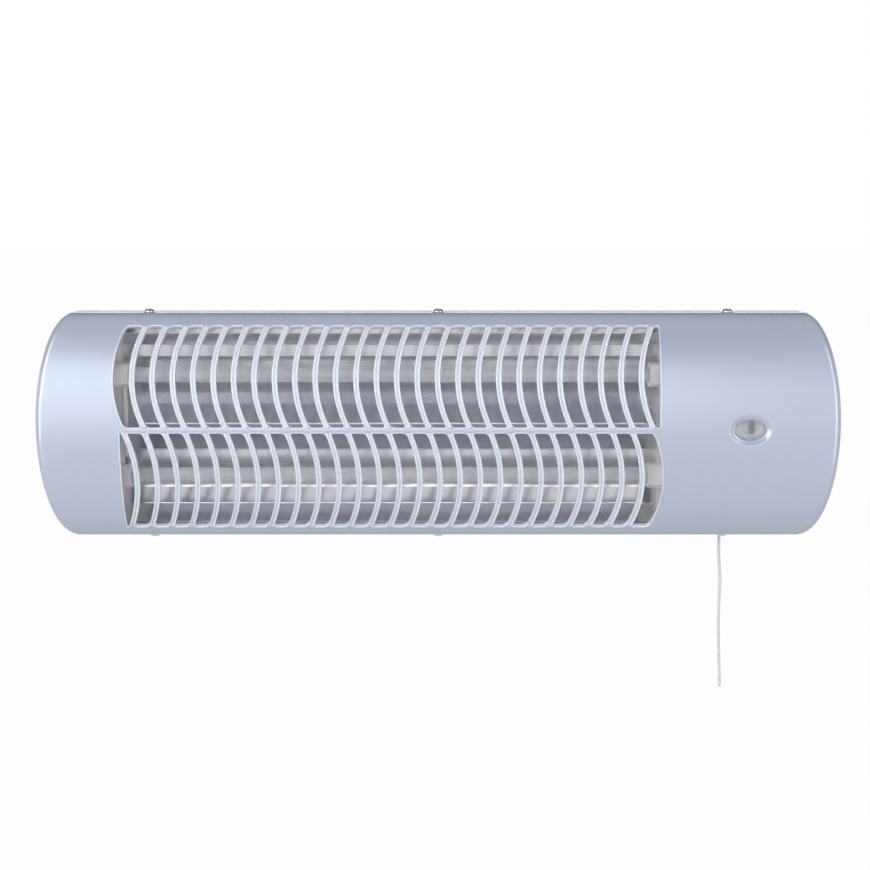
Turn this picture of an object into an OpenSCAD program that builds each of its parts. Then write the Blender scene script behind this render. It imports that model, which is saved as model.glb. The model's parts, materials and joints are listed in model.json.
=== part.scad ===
// Wall heater with two quartz tubes, a pull cord switch and a tilting wall bracket.
// Millimetres. X runs along the heater, Z is up, the wall is the plane Y = 0 and the room is at -Y.
// The origin is the middle of the wall plate, level with the tilt pivots. Sizes of pieces in the heater
// are written from the middle of its seam plane, which in_heater() carries to its place on the bracket.

/* [Casing] */
// Width of the casing over its bowed ends
body_w = 520; // [440:5:620]
// Height of the casing
body_h = 148; // [126:1:170]
// How far the curved front stands out from the seam plane
crown = 30; // [28:1:40]
// How far each end bows outwards at mid height
end_bow = 20; // [14:1:28]
// Radius of the edge between the curved front and the ends
edge_r = 5; // [3:0.5:7]
// Wall of the moulded front cover
cover_t = 2.4; // [2:0.2:3]
// Straight skirt of the cover behind the seam plane
skirt = 10; // [9:0.5:10.5]
// Depth of the rear shell behind the seam plane
shell_d = 30; // [29:1:40]
// Sheet of the rear shell
shell_t = 1.2; // [0.8:0.1:1.6]

/* [Grille] */
// Width of the plain panel left of the grille
left_panel = 55.8; // [52:0.2:70]
// Width of the plain panel right of the grille, with the lamp and the switch
right_panel = 117.4; // [116:0.2:130]
// Number of S-curves, with an opening's edge at each end
curve_count = 27; // [15:1:27]
// How far each curve bows within a bay
bar_bow = 6.8; // [3:0.1:9]
// Width of a bar
bar_w = 3.6; // [3:0.1:5]
// Depth of a bar
bar_d = 5; // [4:0.5:7]
// Height of the plain rim above and below the grille
grille_rim = 7.8; // [7.4:0.2:14]
// Height of the bar along the middle
mid_bar_h = 4; // [3:0.5:6]

/* [Heating] */
// How much nearer to the middle each tube lies than the middle of its bay
tube_off = 0.6; // [0:0.1:2]
// Outer diameter of a quartz tube
tube_d = 10; // [9:0.5:11]
// Wall of a quartz tube
tube_t = 1; // [0.8:0.1:1.2]
// How far the tubes lie in front of the seam plane
tube_out = 3; // [0:0.5:5]
// Focal length of the reflector troughs
focus = 20.5; // [18:0.5:22]
// Sheet of the reflector and its end plates
sheet_t = 0.8; // [0.5:0.1:1.2]
// Side of a square ceramic tube holder
ceramic_w = 15; // [14:0.5:17]
// Loops of an element in its tube
element_loops = 40; // [20:1:40]

/* [Switch] */
// Travel of the pull cord
pull_travel = 8; // [5:0.5:9]
// Diameter of the pull cord
cord_d = 2; // [1.6:0.1:2.6]
// Distance of the cord from the casing's right end
cord_in = 68; // [60:1:75]

/* [Indicator] */
// Distance of the indicator from the casing's right end
lamp_in = 59; // [54:1:64]
// Half width of the clear oval lens
lens_rx = 10.1; // [8:0.1:12]
// Half height of the clear oval lens
lens_rz = 6.4; // [5.5:0.1:8]

/* [Bracket] */
// Space between the wall and the rear shell
stand_off = 34; // [32:1:45]
// Height of the heater's middle above the tilt pivots
heater_rise = 20; // [14:1:24]
// Width of the wall bracket over its arms
bracket_w = 220; // [180:5:260]
// Height of the wall plate
plate_h = 44; // [36:1:50]
// Sheet of the bracket and the hinge lugs
steel_t = 2; // [1.5:0.1:3]
// Distance of the tilt pivots from the wall
pivot_out = 18; // [16:0.5:20]
// Pivot bolt diameter
bolt_d = 5; // [4:0.5:6]
// Distance between the wall screw holes across the plate
hole_across = 160; // [120:5:180]
// Distance between the wall screw holes up the plate
hole_up = 24; // [18:1:28]
// Diameter of a wall screw hole
hole_d = 5.5; // [4:0.5:6]

/* [Hidden] */

// Overrun of every cut
over = 1;
// Gap between pieces that lie against each other
fit = 0.3;
// Radial gap of a pin or shaft in its hole
pin_fit = 0.1;
// Facets of round pieces, small ones and hexagons
round_fn = 64;
small_fn = 32;
hex_fn = 6;

// Planes of the heater, from its seam plane forwards at -Y
half_h = body_h / 2;
right_end = body_w / 2;
lamp_x = right_end - lamp_in;
cord_x = right_end - cord_in;
straight_x = right_end - end_bow;
back_y = shell_d;
sheet_in_y = back_y - shell_t;
skirt_y = skirt;
tray_y = (skirt_y + back_y) / 2;
edge_angle = 86;
cover_rows = 32;
edge_steps = 4;
outline_steps = 16;
// Most that an edge's radius takes of the front's depth, and where a rounded edge has its middle point
edge_share = 0.8;
round_share = 0.3;

// Grille places
left_margin = 2.1;
right_margin = 4.1;
grille_left = left_panel - right_end;
grille_right = right_end - right_panel;
bar_pitch = (grille_right - grille_left - left_margin - right_margin) / (curve_count - 1);
opening_half_h = half_h - grille_rim;
bay_low = mid_bar_h / 2;
bay_mid = (opening_half_h + bay_low) / 2;
bay_half = (opening_half_h - bay_low) / 2;
tube_z = bay_mid - tube_off;
curve_r = (pow(bay_half, 2) + pow(bar_bow, 2)) / (2 * bar_bow);
bar_sink = 0.3;
bar_root = 2;

// Heating chamber places
chamber_margin_left = 7.8;
chamber_margin_right = 4.9;
chamber_x0 = grille_left - chamber_margin_left;
chamber_x1 = grille_right + chamber_margin_right;
ceramic_in = 9;
ceramic_l = 24;
ceramic_chamfer = 2;
collar_t = 3;
collar_step = 2;
tube_seat = 10;
tube_fit = 0.15;
tube_x0 = chamber_x0 + ceramic_in - tube_seat;
tube_x1 = chamber_x1 - ceramic_in + tube_seat;
// Where the trough is bent, as shares of its half height
bend_shares = [-1, -0.82, -0.57, -0.32, 0.32, 0.57, 0.82, 1];
wire_d = 0.8;
element_r = 2.6;
curl_rings = 8;
wire_sides = 6;
// Rings to compare between turns, as shares of a turn
near_shares = [0.6, 1.4];
pin_d = 3;
pin_head_d = 7;
pin_head_t = 1.5;
pin_out = 7;
nut_w = 6.2;
nut_t = 2.4;
head_room = fit + pin_head_t;
plate_gap = 1;
plate_half_h = half_h - edge_r - plate_gap;
plate_top = 5;
plate_seam_gap = 12;
plate_front_half_h = tube_z + ceramic_w / 2 + plate_top;
plate_seam_half_h = half_h - plate_seam_gap;
plate_lip = 3;
plate_out = tube_out + ceramic_w / 2 + plate_lip;
foot_l = 12;
rivet_d = 3;
rivet_head_d = 5.5;
rivet_head_t = 1.1;
rivet_in = 18;
rivet_z = plate_half_h - rivet_in;
link_d = 3.2;
link_in = 5.3;
link_seat = 1.2;
splice_l = 4.5;
strand_share = 0.4;
strand_d = 0.9;
strand_turns = 720;
splice_slices = 12;

// Cover screws
screw_in = 69.5;
screw_x = right_end - screw_in;
screw_d = 3;
screw_head_d = 7.3;
screw_head_t = 2.5;
screw_l = 6;
slot_w = 1;
slot_l = 4;
slot_d = 1.2;
screw_y = skirt_y / 2;

// Indicator
dish_rx = 13.1;
dish_rz = 9.8;
dish_d = 1.6;
dish_rim = 0.5;
boss_t = 1.6;
boss_back = 6;
lens_fit = 0.2;
lens_sink = 0.6;
lens_t = 1.3;
lens_dome = 0.6;
lens_flange = 2;
lens_flange_t = 1.2;
// Rings of the lens's rounded face: its width and height, and how far back it lies in the dome's depth
lens_ring_shares = [[1, 1, 1], [0.9, 0.86, 0.3], [0.6, 0.56, 0]];
oval_steps = 40;
holder_d = 13;
holder_t = 1.2;
neon_d = 4.4;
neon_l = 9.6;
neon_t = 0.4;
neon_z = -3;
neon_side = 3.2;
neon_gap = 5.5;
neon_foot = 2.4;
neon_seat_w = 7;
electrode_d = 0.7;
electrode_gap = 1.6;
electrode_l = 7.2;
lamp_lead_x = 4;

// Switch
sw_w = 32;
sw_h = 38;
sw_t = 1.8;
sw_half_d = sheet_in_y - tray_y;
sw_floor = -half_h + edge_r;
sw_in_floor = sw_floor + sw_t;
sw_top = sw_floor + sw_h;
cap_t = 1.8;
cap_screw_d = 2;
cap_screw_l = 6;
cap_screw_head_d = 3.6;
cap_screw_head_t = 1.2;
cap_boss_w = 4;
cap_boss_h = 8;
cap_screw_x = (sw_w - cap_boss_w) / 2 - sw_t;
sw_screw_d = 2.5;
sw_screw_head_d = 5;
sw_screw_head_t = 1.5;
sw_screw_edge = 7;
post_d = 3;
rotor_d = 11;
rotor_t = 5;
rotor_drop = 9.5;
rotor_low = sw_top - rotor_drop;
rotor_teeth = 6;
tooth_w = 2.6;
tooth_l = 2.2;
tooth_h = 1.5;
bridge_half = 5.8;
bridge_w = 5;
bridge_t = 0.8;
post_shoulder_d = 5;
clip_t = 0.8;
clip_d = 6;
stem_d = 4;
spring_wire = 0.9;
spring_r = 3.9;
spring_curls = 6;
spring_room = 11;
head_d = 10.4;
head_t = 2.5;
head_low = sw_in_floor + spring_room + pull_travel;
stem_l = 8;
pawl_w = 2;
pawl_x = 4;
leaf_t = 0.8;
leaf_w = 5;
leaf_x = bridge_half + fit + leaf_t / 2;
leaf_dip = 3;
leaf_rise = 7;
leaf_low = rotor_low - leaf_dip;
leaf_top = sw_top + leaf_rise;
cord_room = 1.6;
cord_hole = cord_d + cord_room;
guide_d = 6;
guide_flange_d = 9;
guide_flange_t = 1.5;
guide_lip_d = 7;
guide_lip_t = 1;
stem_end = head_low - stem_l;

// Mains side
block_in = 68;
block_down = 34;
block_x = right_end - block_in;
block_z = half_h - block_down;
block_w = 34;
block_h = 14;
block_d = 15;
block_ways = 3;
way_screw_d = 3.4;
way_screw_l = 5;
way_d = 3.6;
block_screw_d = 2.5;
block_screw_head_d = 4.6;
block_screw_head_t = 1.6;
block_mid_y = sheet_in_y - block_d / 2;
stud_in = 92;
stud_up = 64;
stud_x = right_end - stud_in;
stud_z = stud_up - half_h;
stud_d = 4;
stud_tip = 1.4;
stud_flange_t = 0.8;
tag_t = 0.8;
tag_d = 8;
tag_neck_l = 6.5;
tag_neck_w = 3;
tag_barrel_d = 2.6;
tag_barrel_l = 4;
earth_nut_w = 8;
earth_nut_t = 3.2;
stud_l = stud_flange_t + tag_t + earth_nut_t + stud_tip;
gland_in = 34;
gland_down = 44;
gland_x = right_end - gland_in;
gland_z = half_h - gland_down;
gland_d = 14;
gland_hole = 7;
gland_neck_d = 11;
gland_lip = 2;
gland_fit = 0.15;
clamp_drop = 18;
clamp_z = gland_z - clamp_drop;
clamp_w = 28;
clamp_h = 8;
clamp_t = 3;
clamp_arch_r = 4;
clamp_screw_x = 10;
clamp_screw_d = 3;
clamp_head_d = 5.6;
clamp_head_t = 2;
lead_d = 1.8;
lead_steps = 14;
lead_sides = 8;
lead_reach = 16;
lead_tail = 1;
// Directions that a wire's rings are turned from, none of them along the wire
coil_ref = [0.3, 0.2, 1];
lead_ref = [0, 1, 0.2];
lamp_ref = [1, 0.1, 0];
spring_ref = [0, 0, 1];
cord_ref = [0, 1, 0];

// Bracket and hinge
arm_r = 10;
arm_half_h = 16;
lug_r = 9;
lug_half_h = 15;
lug_foot = 18;
lug_x = bracket_w / 2 - steel_t - fit;
lug_rivet_d = 4;
lug_rivet_head_d = 7;
lug_rivet_head_t = 1.4;
lug_rivet_z = 9;
lug_rivet_in = 7;
bolt_head_d = 9;
bolt_head_t = 3.5;
bolt_tail = 12;
washer_d = 12;
washer_t = 1;
hub_d = 9;
hub_l = 6;
wing_span = 22;
wing_t = 2;
wing_h = 8;

// The pull cord's line down from the plunger's end, in X, Y and Z, with the slight waves that it has
pull_route = [
    [0, 0, 0], [0, 0, -4], [0, 0, -9], [0, 0, -14], [0, 0, -18], [0, 0, -23], [0, 0, -28],
    [0.1, 0, -34], [0.4, -0.1, -40], [0.9, -0.1, -46], [1.4, 0, -52], [1.5, 0, -58],
    [1.3, 0.1, -64], [1.2, 0.2, -70], [1.2, 0.2, -76], [1.2, 0.2, -82], [1.3, 0.1, -88],
    [1.5, 0.1, -94], [1.7, 0, -100], [2, 0, -106], [2.3, 0, -112], [2.6, 0.1, -118],
    [2.9, 0.1, -124], [3.2, 0.1, -130]
];

function unit(v) = v / norm(v);

// Points of a bowed casing outline in X and Z, set in by a wall
function end_x(t, inset) = straight_x + (end_bow - inset) * cos(t);
function row_z(t, inset) = (half_h - inset) * sin(t) / sin(edge_angle);
function outline(inset) = [
    for (side = [1, -1])
        for (i = [0:outline_steps])
            let (t = side * edge_angle * (2 * i / outline_steps - 1))
                [side * end_x(t, inset), row_z(t, inset)]
];

// Distance of the curved front from the seam plane, at an angle along its half ellipse
function front_d(t, inset) = (crown - inset) * cos(t);

// Points of the curved front in Y and Z, set in by a depth
function front_arc(inset) = [
    for (i = [0:cover_rows])
        let (t = edge_angle * (2 * i / cover_rows - 1))
            [-front_d(t, inset), row_z(t, inset)]
];

// One level section of the cover, its two front corners rounded
function cover_row(t, inset, back) =
    let (
        x = end_x(t, inset),
        y = -front_d(t, inset),
        r = min(max(edge_r - inset, edge_r / edge_steps), -edge_share * y)
    )
    concat(
        [for (i = [0:edge_steps]) let (a = 90 * i / edge_steps) [-x + r - r * cos(a), y + r - r * sin(a)]],
        [for (i = [edge_steps:-1:0]) let (a = 90 * i / edge_steps) [x - r + r * cos(a), y + r - r * sin(a)]],
        [[x, back], [-x, back]]
    );

// A closed skin over a stack of rings that have the same number of points
module skin(rings) {
    count = len(rings[0]);
    last = len(rings) - 1;
    points = [for (r = rings, q = r) q];
    sides = [
        for (j = [0:last - 1], i = [0:count - 1])
            let (a = j * count + i, b = j * count + (i + 1) % count)
                each [[a, b + count, b], [a, a + count, b + count]]
    ];
    low = [for (i = [1:count - 2]) [0, i, i + 1]];
    high = [for (i = [1:count - 2]) [last * count, last * count + i + 1, last * count + i]];
    polyhedron(points = points, faces = concat(low, sides, high), convexity = 6);
}

// Rings of a round tube along points, square to the path
function tangent(p, i) = unit(p[min(i + 1, len(p) - 1)] - p[max(i - 1, 0)]);
function tube_ring(p, i, d, sides, ref) =
    let (t = tangent(p, i), u = unit(cross(t, ref)), v = cross(t, u))
        [for (k = [0:sides - 1]) p[i] + d / 2 * (cos(360 * k / sides) * u + sin(360 * k / sides) * v)];
module tube_along(p, d, sides, ref) {
    skin([for (i = [0:len(p) - 1]) tube_ring(p, i, d, sides, ref)]);
}

// Least distance between the surfaces of turns that lie side by side
function least_gap(p, per_turn, d) = min([
    for (i = [0:len(p) - 1])
        for (j = [i + floor(per_turn * near_shares[0]):i + ceil(per_turn * near_shares[1])])
            if (j < len(p)) norm(p[i] - p[j]) - d
]);

// A lead bent smoothly from one terminal to another, leaving each end square to its face
function bent(a, da, b, db, s) =
    pow(1 - s, 3) * a + 3 * pow(1 - s, 2) * s * (a + da) + 3 * (1 - s) * pow(s, 2) * (b + db) + pow(s, 3) * b;
module lead_between(a, da, b, db, ref) {
    start = a + lead_tail * da;
    end = b + lead_tail * db;
    inner = [
        for (i = [0:lead_steps]) bent(start, da * lead_reach, end, db * lead_reach, i / lead_steps)
    ];
    tube_along(concat([a], inner, [b]), lead_d, lead_sides, ref);
}

// Carries a piece from the heater's own frame to its place on the bracket
module in_heater() {
    translate([0, -stand_off - shell_d, heater_rise]) children();
}

// Extrudes an outline drawn in X and Z from one Y plane back to another
module along_y(y0, y1) {
    translate([0, y1, 0]) rotate([90, 0, 0]) linear_extrude(height = y1 - y0, convexity = 8) children();
}

// Extrudes an outline drawn in Y and Z from one X plane to another
module along_x(x0, x1) {
    translate([x0, 0, 0]) rotate([90, 0, 90]) linear_extrude(height = x1 - x0, convexity = 8) children();
}

// Front cover, one moulding with its grille
module cover_form(inset, back) {
    skin([
        for (i = [0:cover_rows])
            let (t = edge_angle * (2 * i / cover_rows - 1))
                [for (q = cover_row(t, inset, back)) [q[0], q[1], row_z(t, inset)]]
    ]);
}

function curve_x(k) = grille_left + left_margin + k * bar_pitch;
function upper_centre(k) = [curve_x(k) - bar_bow + curve_r, bay_mid];
function lower_centre(k) = [curve_x(k) + bar_bow - curve_r, -bay_mid];

// The part of a round edge or ring that lies in one bay, on the bowed side of its centre
module bay_side(side, grow) {
    intersection() {
        children();
        translate([side < 0 ? -curve_r - bar_w : 0, -bay_half - grow])
            square([curve_r + bar_w, 2 * (bay_half + grow)]);
    }
}

module upper_opening() {
    centre = upper_centre(0);
    translate(centre) bay_side(-1, 0) circle(r = curve_r, $fn = 3 * round_fn);
    translate([centre[0], bay_low]) square([grille_right - centre[0], opening_half_h - bay_low]);
}

module lower_opening() {
    centre = lower_centre(curve_count - 1);
    translate(centre) bay_side(1, 0) circle(r = curve_r, $fn = 3 * round_fn);
    translate([grille_left, -opening_half_h]) square([centre[0] - grille_left, opening_half_h - bay_low]);
}

module bar_ring() {
    difference() {
        circle(r = curve_r + bar_w / 2, $fn = 3 * round_fn);
        circle(r = curve_r - bar_w / 2, $fn = 3 * round_fn);
    }
}

module bar_pattern() {
    for (k = [1:curve_count - 1]) {
        translate(upper_centre(k)) bay_side(-1, bar_root) bar_ring();
        translate(lower_centre(k - 1)) bay_side(1, bar_root) bar_ring();
    }
    translate([grille_left - bar_root, -mid_bar_h / 2])
        square([grille_right - grille_left + 2 * bar_root, mid_bar_h]);
}

module grille_layer() {
    along_x(grille_left - bar_w - bar_bow, grille_right + bar_w + bar_bow) difference() {
        polygon(concat(front_arc(bar_sink), [[0, half_h], [0, -half_h]]));
        polygon(concat(front_arc(bar_sink + bar_d), [[over, half_h], [over, -half_h]]));
    }
}

function oval(rx, rz) = [
    for (i = [0:oval_steps - 1])
        let (a = 360 * i / oval_steps)
            [rx * cos(a), rz * sin(a)]
];
function oval_ring(rx, rz, y) = [for (q = oval(rx, rz)) [q[0], y, q[1]]];

module at_lamp() {
    translate([lamp_x, 0, 0]) children();
}

module front_cover() {
    color([0.73, 0.76, 0.84]) in_heater() difference() {
        union() {
            difference() {
                cover_form(0, skirt_y);
                cover_form(cover_t, skirt_y + over);
                along_y(-crown - over, 0) upper_opening();
                along_y(-crown - over, 0) lower_opening();
            }
            intersection() {
                along_y(-crown - over, -over) bar_pattern();
                grille_layer();
            }
            at_lamp() along_y(-crown + cover_t / 2, -crown + boss_back)
                polygon(oval(lens_rx + lens_fit + boss_t, lens_rz + lens_fit + boss_t));
        }
        at_lamp() along_y(-crown - over, 0) polygon(oval(lens_rx + lens_fit, lens_rz + lens_fit));
        at_lamp() skin([
            oval_ring(lens_rx + lens_fit + dish_rim, lens_rz + lens_fit + dish_rim, -crown + dish_d),
            oval_ring(dish_rx, dish_rz, -crown),
            oval_ring(dish_rx, dish_rz, -crown - over)
        ]);
        for (x = [-screw_x, 0, screw_x], z = [-half_h - over, half_h - cover_t - over])
            translate([x, screw_y, z])
                cylinder(d = screw_d + 2 * fit, h = cover_t + 2 * over, $fn = small_fn);
    }
}

module cover_screw() {
    difference() {
        union() {
            cylinder(d = screw_head_d, h = screw_head_t / 2, $fn = small_fn);
            translate([0, 0, screw_head_t / 2])
                cylinder(d1 = screw_head_d, d2 = screw_head_d / 2, h = screw_head_t / 2, $fn = small_fn);
            translate([0, 0, -screw_l]) cylinder(d = screw_d, h = screw_l + screw_head_t / 2, $fn = small_fn);
        }
        for (turn = [0, 90])
            rotate(turn) translate([-slot_l / 2, -slot_w / 2, screw_head_t - slot_d])
                cube([slot_l, slot_w, slot_d + over]);
    }
}

module cover_screws() {
    color([0.68, 0.7, 0.74]) in_heater() for (x = [-screw_x, 0, screw_x], side = [1, -1])
        translate([x, screw_y, side * half_h]) rotate([side > 0 ? 0 : 180, 0, 0]) cover_screw();
}

// Rear shell, a pressed tray with a joggled rim that slides inside the cover's skirt
module tray_form(inset, y0, y1) {
    chamfer = edge_r - inset;
    mid = round_share * chamfer;
    skin([
        for (q = [[inset + chamfer, y1], [inset + mid, y1 - mid], [inset, y1 - chamfer], [inset, y0]])
            [for (p = outline(q[0])) [p[0], q[1], p[1]]]
    ]);
}

// Cuts a hole through the shell's back at a place in X and Z
module back_hole(x, z, d) {
    translate([x, sheet_in_y - over, z]) rotate([-90, 0, 0])
        cylinder(d = d, h = shell_t + 2 * over, $fn = small_fn);
}

rim_inset = cover_t + fit;
tray_front_y = skirt_y + fit;

module rear_shell() {
    color([0.8, 0.82, 0.87]) in_heater() difference() {
        union() {
            tray_form(0, tray_front_y, back_y);
            along_y(fit, tray_front_y) polygon(outline(rim_inset));
        }
        tray_form(shell_t, tray_front_y + shell_t, sheet_in_y);
        along_y(-over, tray_front_y + shell_t) polygon(outline(rim_inset + shell_t));
        for (x = [-screw_x, 0, screw_x], z = [-half_h - over, half_h - rim_inset - shell_t - over])
            translate([x, screw_y, z])
                cylinder(d = screw_d + 2 * pin_fit, h = rim_inset + shell_t + 2 * over, $fn = small_fn);
        translate([cord_x, tray_y, -half_h - over])
            cylinder(d = guide_d + 2 * pin_fit, h = shell_t + 2 * over, $fn = small_fn);
        for (side = [1, -1], z = [-lug_rivet_z, lug_rivet_z])
            back_hole(side * (lug_x - lug_foot + lug_rivet_in), z - heater_rise, lug_rivet_d);
        for (p = foot_rivet_places())
            back_hole(p[0], p[1], rivet_d);
        for (p = switch_screw_places())
            back_hole(p[0], p[1], sw_screw_d + 2 * pin_fit);
        for (side = [-1, 1])
            back_hole(gland_x + side * clamp_screw_x, clamp_z, clamp_screw_d + 2 * pin_fit);
        for (i = [0:block_ways - 2])
            back_hole(between_ways(i), block_z, block_screw_d + 2 * pin_fit);
        back_hole(gland_x, gland_z, gland_neck_d + 2 * gland_fit);
    }
}

// Reflector, two troughs that share a ridge, bent up from flat strips
function trough_y(u) = -tube_out + focus - pow(u, 2) / (4 * focus);
function trough_line(side, shift) = [
    for (s = bend_shares)
        let (u = s * tube_z)
            [trough_y(u) + shift, side * tube_z + u]
];
function reflector_line(shift) = concat(
    trough_line(-1, shift),
    [for (i = [1:len(bend_shares) - 1]) trough_line(1, shift)[i]]
);
function reversed(list) = [for (i = [len(list) - 1:-1:0]) list[i]];

module reflector() {
    color([0.78, 0.78, 0.8]) in_heater() along_x(chamber_x0, chamber_x1)
        polygon(concat(reflector_line(0), reversed(reflector_line(sheet_t))));
}

// End plates of the heating chamber, each with a foot on the shell's back and a window for two ceramics
module end_plate() {
    along_x(0, sheet_t) difference() {
        polygon([
            [sheet_in_y, -plate_half_h], [skirt_y, -plate_half_h], [-tube_out, -plate_seam_half_h],
            [-plate_out, -plate_front_half_h], [-plate_out, plate_front_half_h],
            [-tube_out, plate_seam_half_h], [skirt_y, plate_half_h], [sheet_in_y, plate_half_h]
        ]);
        for (z = [-tube_z, tube_z])
            translate([-tube_out - ceramic_w / 2 - pin_fit, z - ceramic_w / 2 - pin_fit])
                square(ceramic_w + 2 * pin_fit);
    }
}

module plate_with_foot() {
    difference() {
        union() {
            end_plate();
            translate([0, sheet_in_y - sheet_t, -plate_half_h]) cube([foot_l, sheet_t, 2 * plate_half_h]);
        }
        for (z = [-rivet_z, rivet_z])
            translate([foot_l / 2 + sheet_t, sheet_in_y - sheet_t - over, z])
                rotate([-90, 0, 0]) cylinder(d = rivet_d, h = sheet_t + 2 * over, $fn = small_fn);
    }
}

function foot_rivet_places() = [
    for (z = [-rivet_z, rivet_z]) each [
        [chamber_x0 - foot_l / 2 - sheet_t, z], [chamber_x1 + foot_l / 2 + sheet_t, z]
    ]
];

module reflector_end_left() {
    color([0.72, 0.73, 0.75]) in_heater() translate([chamber_x0, 0, 0]) mirror([1, 0, 0]) plate_with_foot();
}

module reflector_end_right() {
    color([0.72, 0.73, 0.75]) in_heater() translate([chamber_x1, 0, 0]) plate_with_foot();
}

// A rivet through the feet and the shell, its axis along Y and its flat head inside at the origin
module rivet(d, head_d, head_t, grip) {
    rotate([-90, 0, 0]) union() {
        translate([0, 0, -head_t]) cylinder(d = head_d, h = head_t, $fn = small_fn);
        cylinder(d = d - 2 * pin_fit, h = grip, $fn = small_fn);
        translate([0, 0, grip]) cylinder(d1 = head_d, d2 = d, h = head_t, $fn = small_fn);
    }
}

module plate_rivets() {
    color([0.7, 0.71, 0.73]) in_heater() for (p = foot_rivet_places())
        translate([p[0], sheet_in_y - sheet_t, p[1]])
            rivet(rivet_d, rivet_head_d, rivet_head_t, sheet_t + shell_t);
}

// Quartz tubes and what they hold
module at_tube(side) {
    translate([0, -tube_out, side * tube_z]) children();
}

module quartz_tube(side) {
    color([0.86, 0.88, 0.92, 0.5]) in_heater() at_tube(side) translate([tube_x0, 0, 0]) rotate([0, 90, 0])
        difference() {
            cylinder(d = tube_d, h = tube_x1 - tube_x0, $fn = round_fn);
            translate([0, 0, -over])
                cylinder(d = tube_d - 2 * tube_t, h = tube_x1 - tube_x0 + 2 * over, $fn = round_fn);
        }
}

module quartz_tube_upper() { quartz_tube(1); }
module quartz_tube_lower() { quartz_tube(-1); }

// The element's wire, a straight tail at each end and an open helix between them
element_tail = 5;
element_x0 = tube_x0 - fit;
element_x1 = tube_x1 + fit;
function element_path() =
    let (a = element_x0 + element_tail, b = element_x1 - element_tail, last = element_loops * curl_rings)
        concat(
            [[element_x0, element_r, 0], [a - element_tail / 3, element_r, 0]],
            [for (i = [0:last]) let (w = 360 * i / curl_rings)
                [a + (b - a) * i / last, element_r * cos(w), element_r * sin(w)]],
            [[b + element_tail / 3, element_r, 0], [element_x1, element_r, 0]]
        );
echo(element_least_gap = least_gap(element_path(), curl_rings, wire_d));

module heating_coil(side) {
    color([0.5, 0.48, 0.47]) in_heater() at_tube(side)
        tube_along(element_path(), wire_d, wire_sides, coil_ref);
}

module heating_coil_upper() { heating_coil(1); }
module heating_coil_lower() { heating_coil(-1); }

// A square ceramic with chamfered corners, from its inner face at the origin outwards along +X
module ceramic_outline(w) {
    h = w / 2;
    e = h - ceramic_chamfer;
    polygon([[-h, -e], [-e, -h], [e, -h], [h, -e], [h, e], [e, h], [-e, h], [-h, e]]);
}

module ceramic(link_side) {
    difference() {
        union() {
            along_x(0, ceramic_l) ceramic_outline(ceramic_w);
            along_x(ceramic_in + sheet_t, ceramic_in + sheet_t + collar_t)
                ceramic_outline(ceramic_w + 2 * collar_step);
        }
        translate([-over, 0, 0]) rotate([0, 90, 0])
            cylinder(d = tube_d + 2 * tube_fit, h = tube_seat + head_room + over, $fn = round_fn);
        rotate([0, 90, 0]) cylinder(d = pin_d + 2 * pin_fit, h = ceramic_l + over, $fn = small_fn);
        if (link_side != 0)
            rotate([link_side > 0 ? 0 : 180, 0, 0])
                translate([ceramic_in - link_in, 0, ceramic_w / 2 - link_seat])
                    cylinder(d = link_d + 2 * pin_fit, h = link_seat + over, $fn = small_fn);
    }
}

module ceramic_at(end, side) {
    x = end > 0 ? chamber_x1 - ceramic_in : chamber_x0 + ceramic_in;
    color([0.94, 0.93, 0.9]) in_heater() at_tube(side) translate([x, 0, 0]) mirror([end > 0 ? 0 : 1, 0, 0])
        ceramic(end > 0 ? 0 : -side);
}

module ceramic_upper_left() { ceramic_at(-1, 1); }
module ceramic_upper_right() { ceramic_at(1, 1); }
module ceramic_lower_left() { ceramic_at(-1, -1); }
module ceramic_lower_right() { ceramic_at(1, -1); }

// Places and lengths of the terminals along X, outwards from the tube's end
pin_l = ceramic_l - tube_seat - fit - pin_head_t + pin_out;

module at_terminals() {
    for (end = [1, -1], side = [1, -1])
        at_tube(side) translate([end > 0 ? tube_x1 + fit : tube_x0 - fit, 0, 0])
            mirror([end > 0 ? 0 : 1, 0, 0]) rotate([0, 90, 0]) children();
}

module terminal_pins() {
    color([0.74, 0.72, 0.66]) in_heater() at_terminals() union() {
        cylinder(d = pin_head_d, h = pin_head_t, $fn = small_fn);
        cylinder(d = pin_d, h = pin_head_t + pin_l, $fn = small_fn);
    }
}

module terminal_nuts() {
    seat = ceramic_l - tube_seat - fit;
    color([0.8, 0.74, 0.5]) in_heater() at_terminals() translate([0, 0, seat]) difference() {
        cylinder(d = nut_w, h = nut_t, $fn = hex_fn);
        translate([0, 0, -over]) cylinder(d = pin_d + pin_fit, h = nut_t + 2 * over, $fn = small_fn);
    }
}

// Sleeved link between the left ends of the tubes, and the twisted bare ends above the lower ceramic
link_x = chamber_x0 + link_in;
link_top = tube_z - ceramic_w / 2 + link_seat;
splice_low = -tube_z + ceramic_w / 2 - link_seat + fit;

module link_wire() {
    low = splice_low + link_seat + splice_l;
    color([0.93, 0.93, 0.92]) in_heater() translate([link_x, -tube_out, low])
        cylinder(d = link_d, h = link_top - fit - low, $fn = small_fn);
}

module link_splice() {
    color([0.32, 0.31, 0.32]) in_heater() translate([link_x, -tube_out, splice_low])
        linear_extrude(height = splice_l + link_seat, twist = strand_turns, slices = splice_slices) union() {
            for (side = [-1, 1])
                translate([side * strand_d * strand_share, 0]) circle(d = strand_d, $fn = hex_fn);
        }
}

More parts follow.
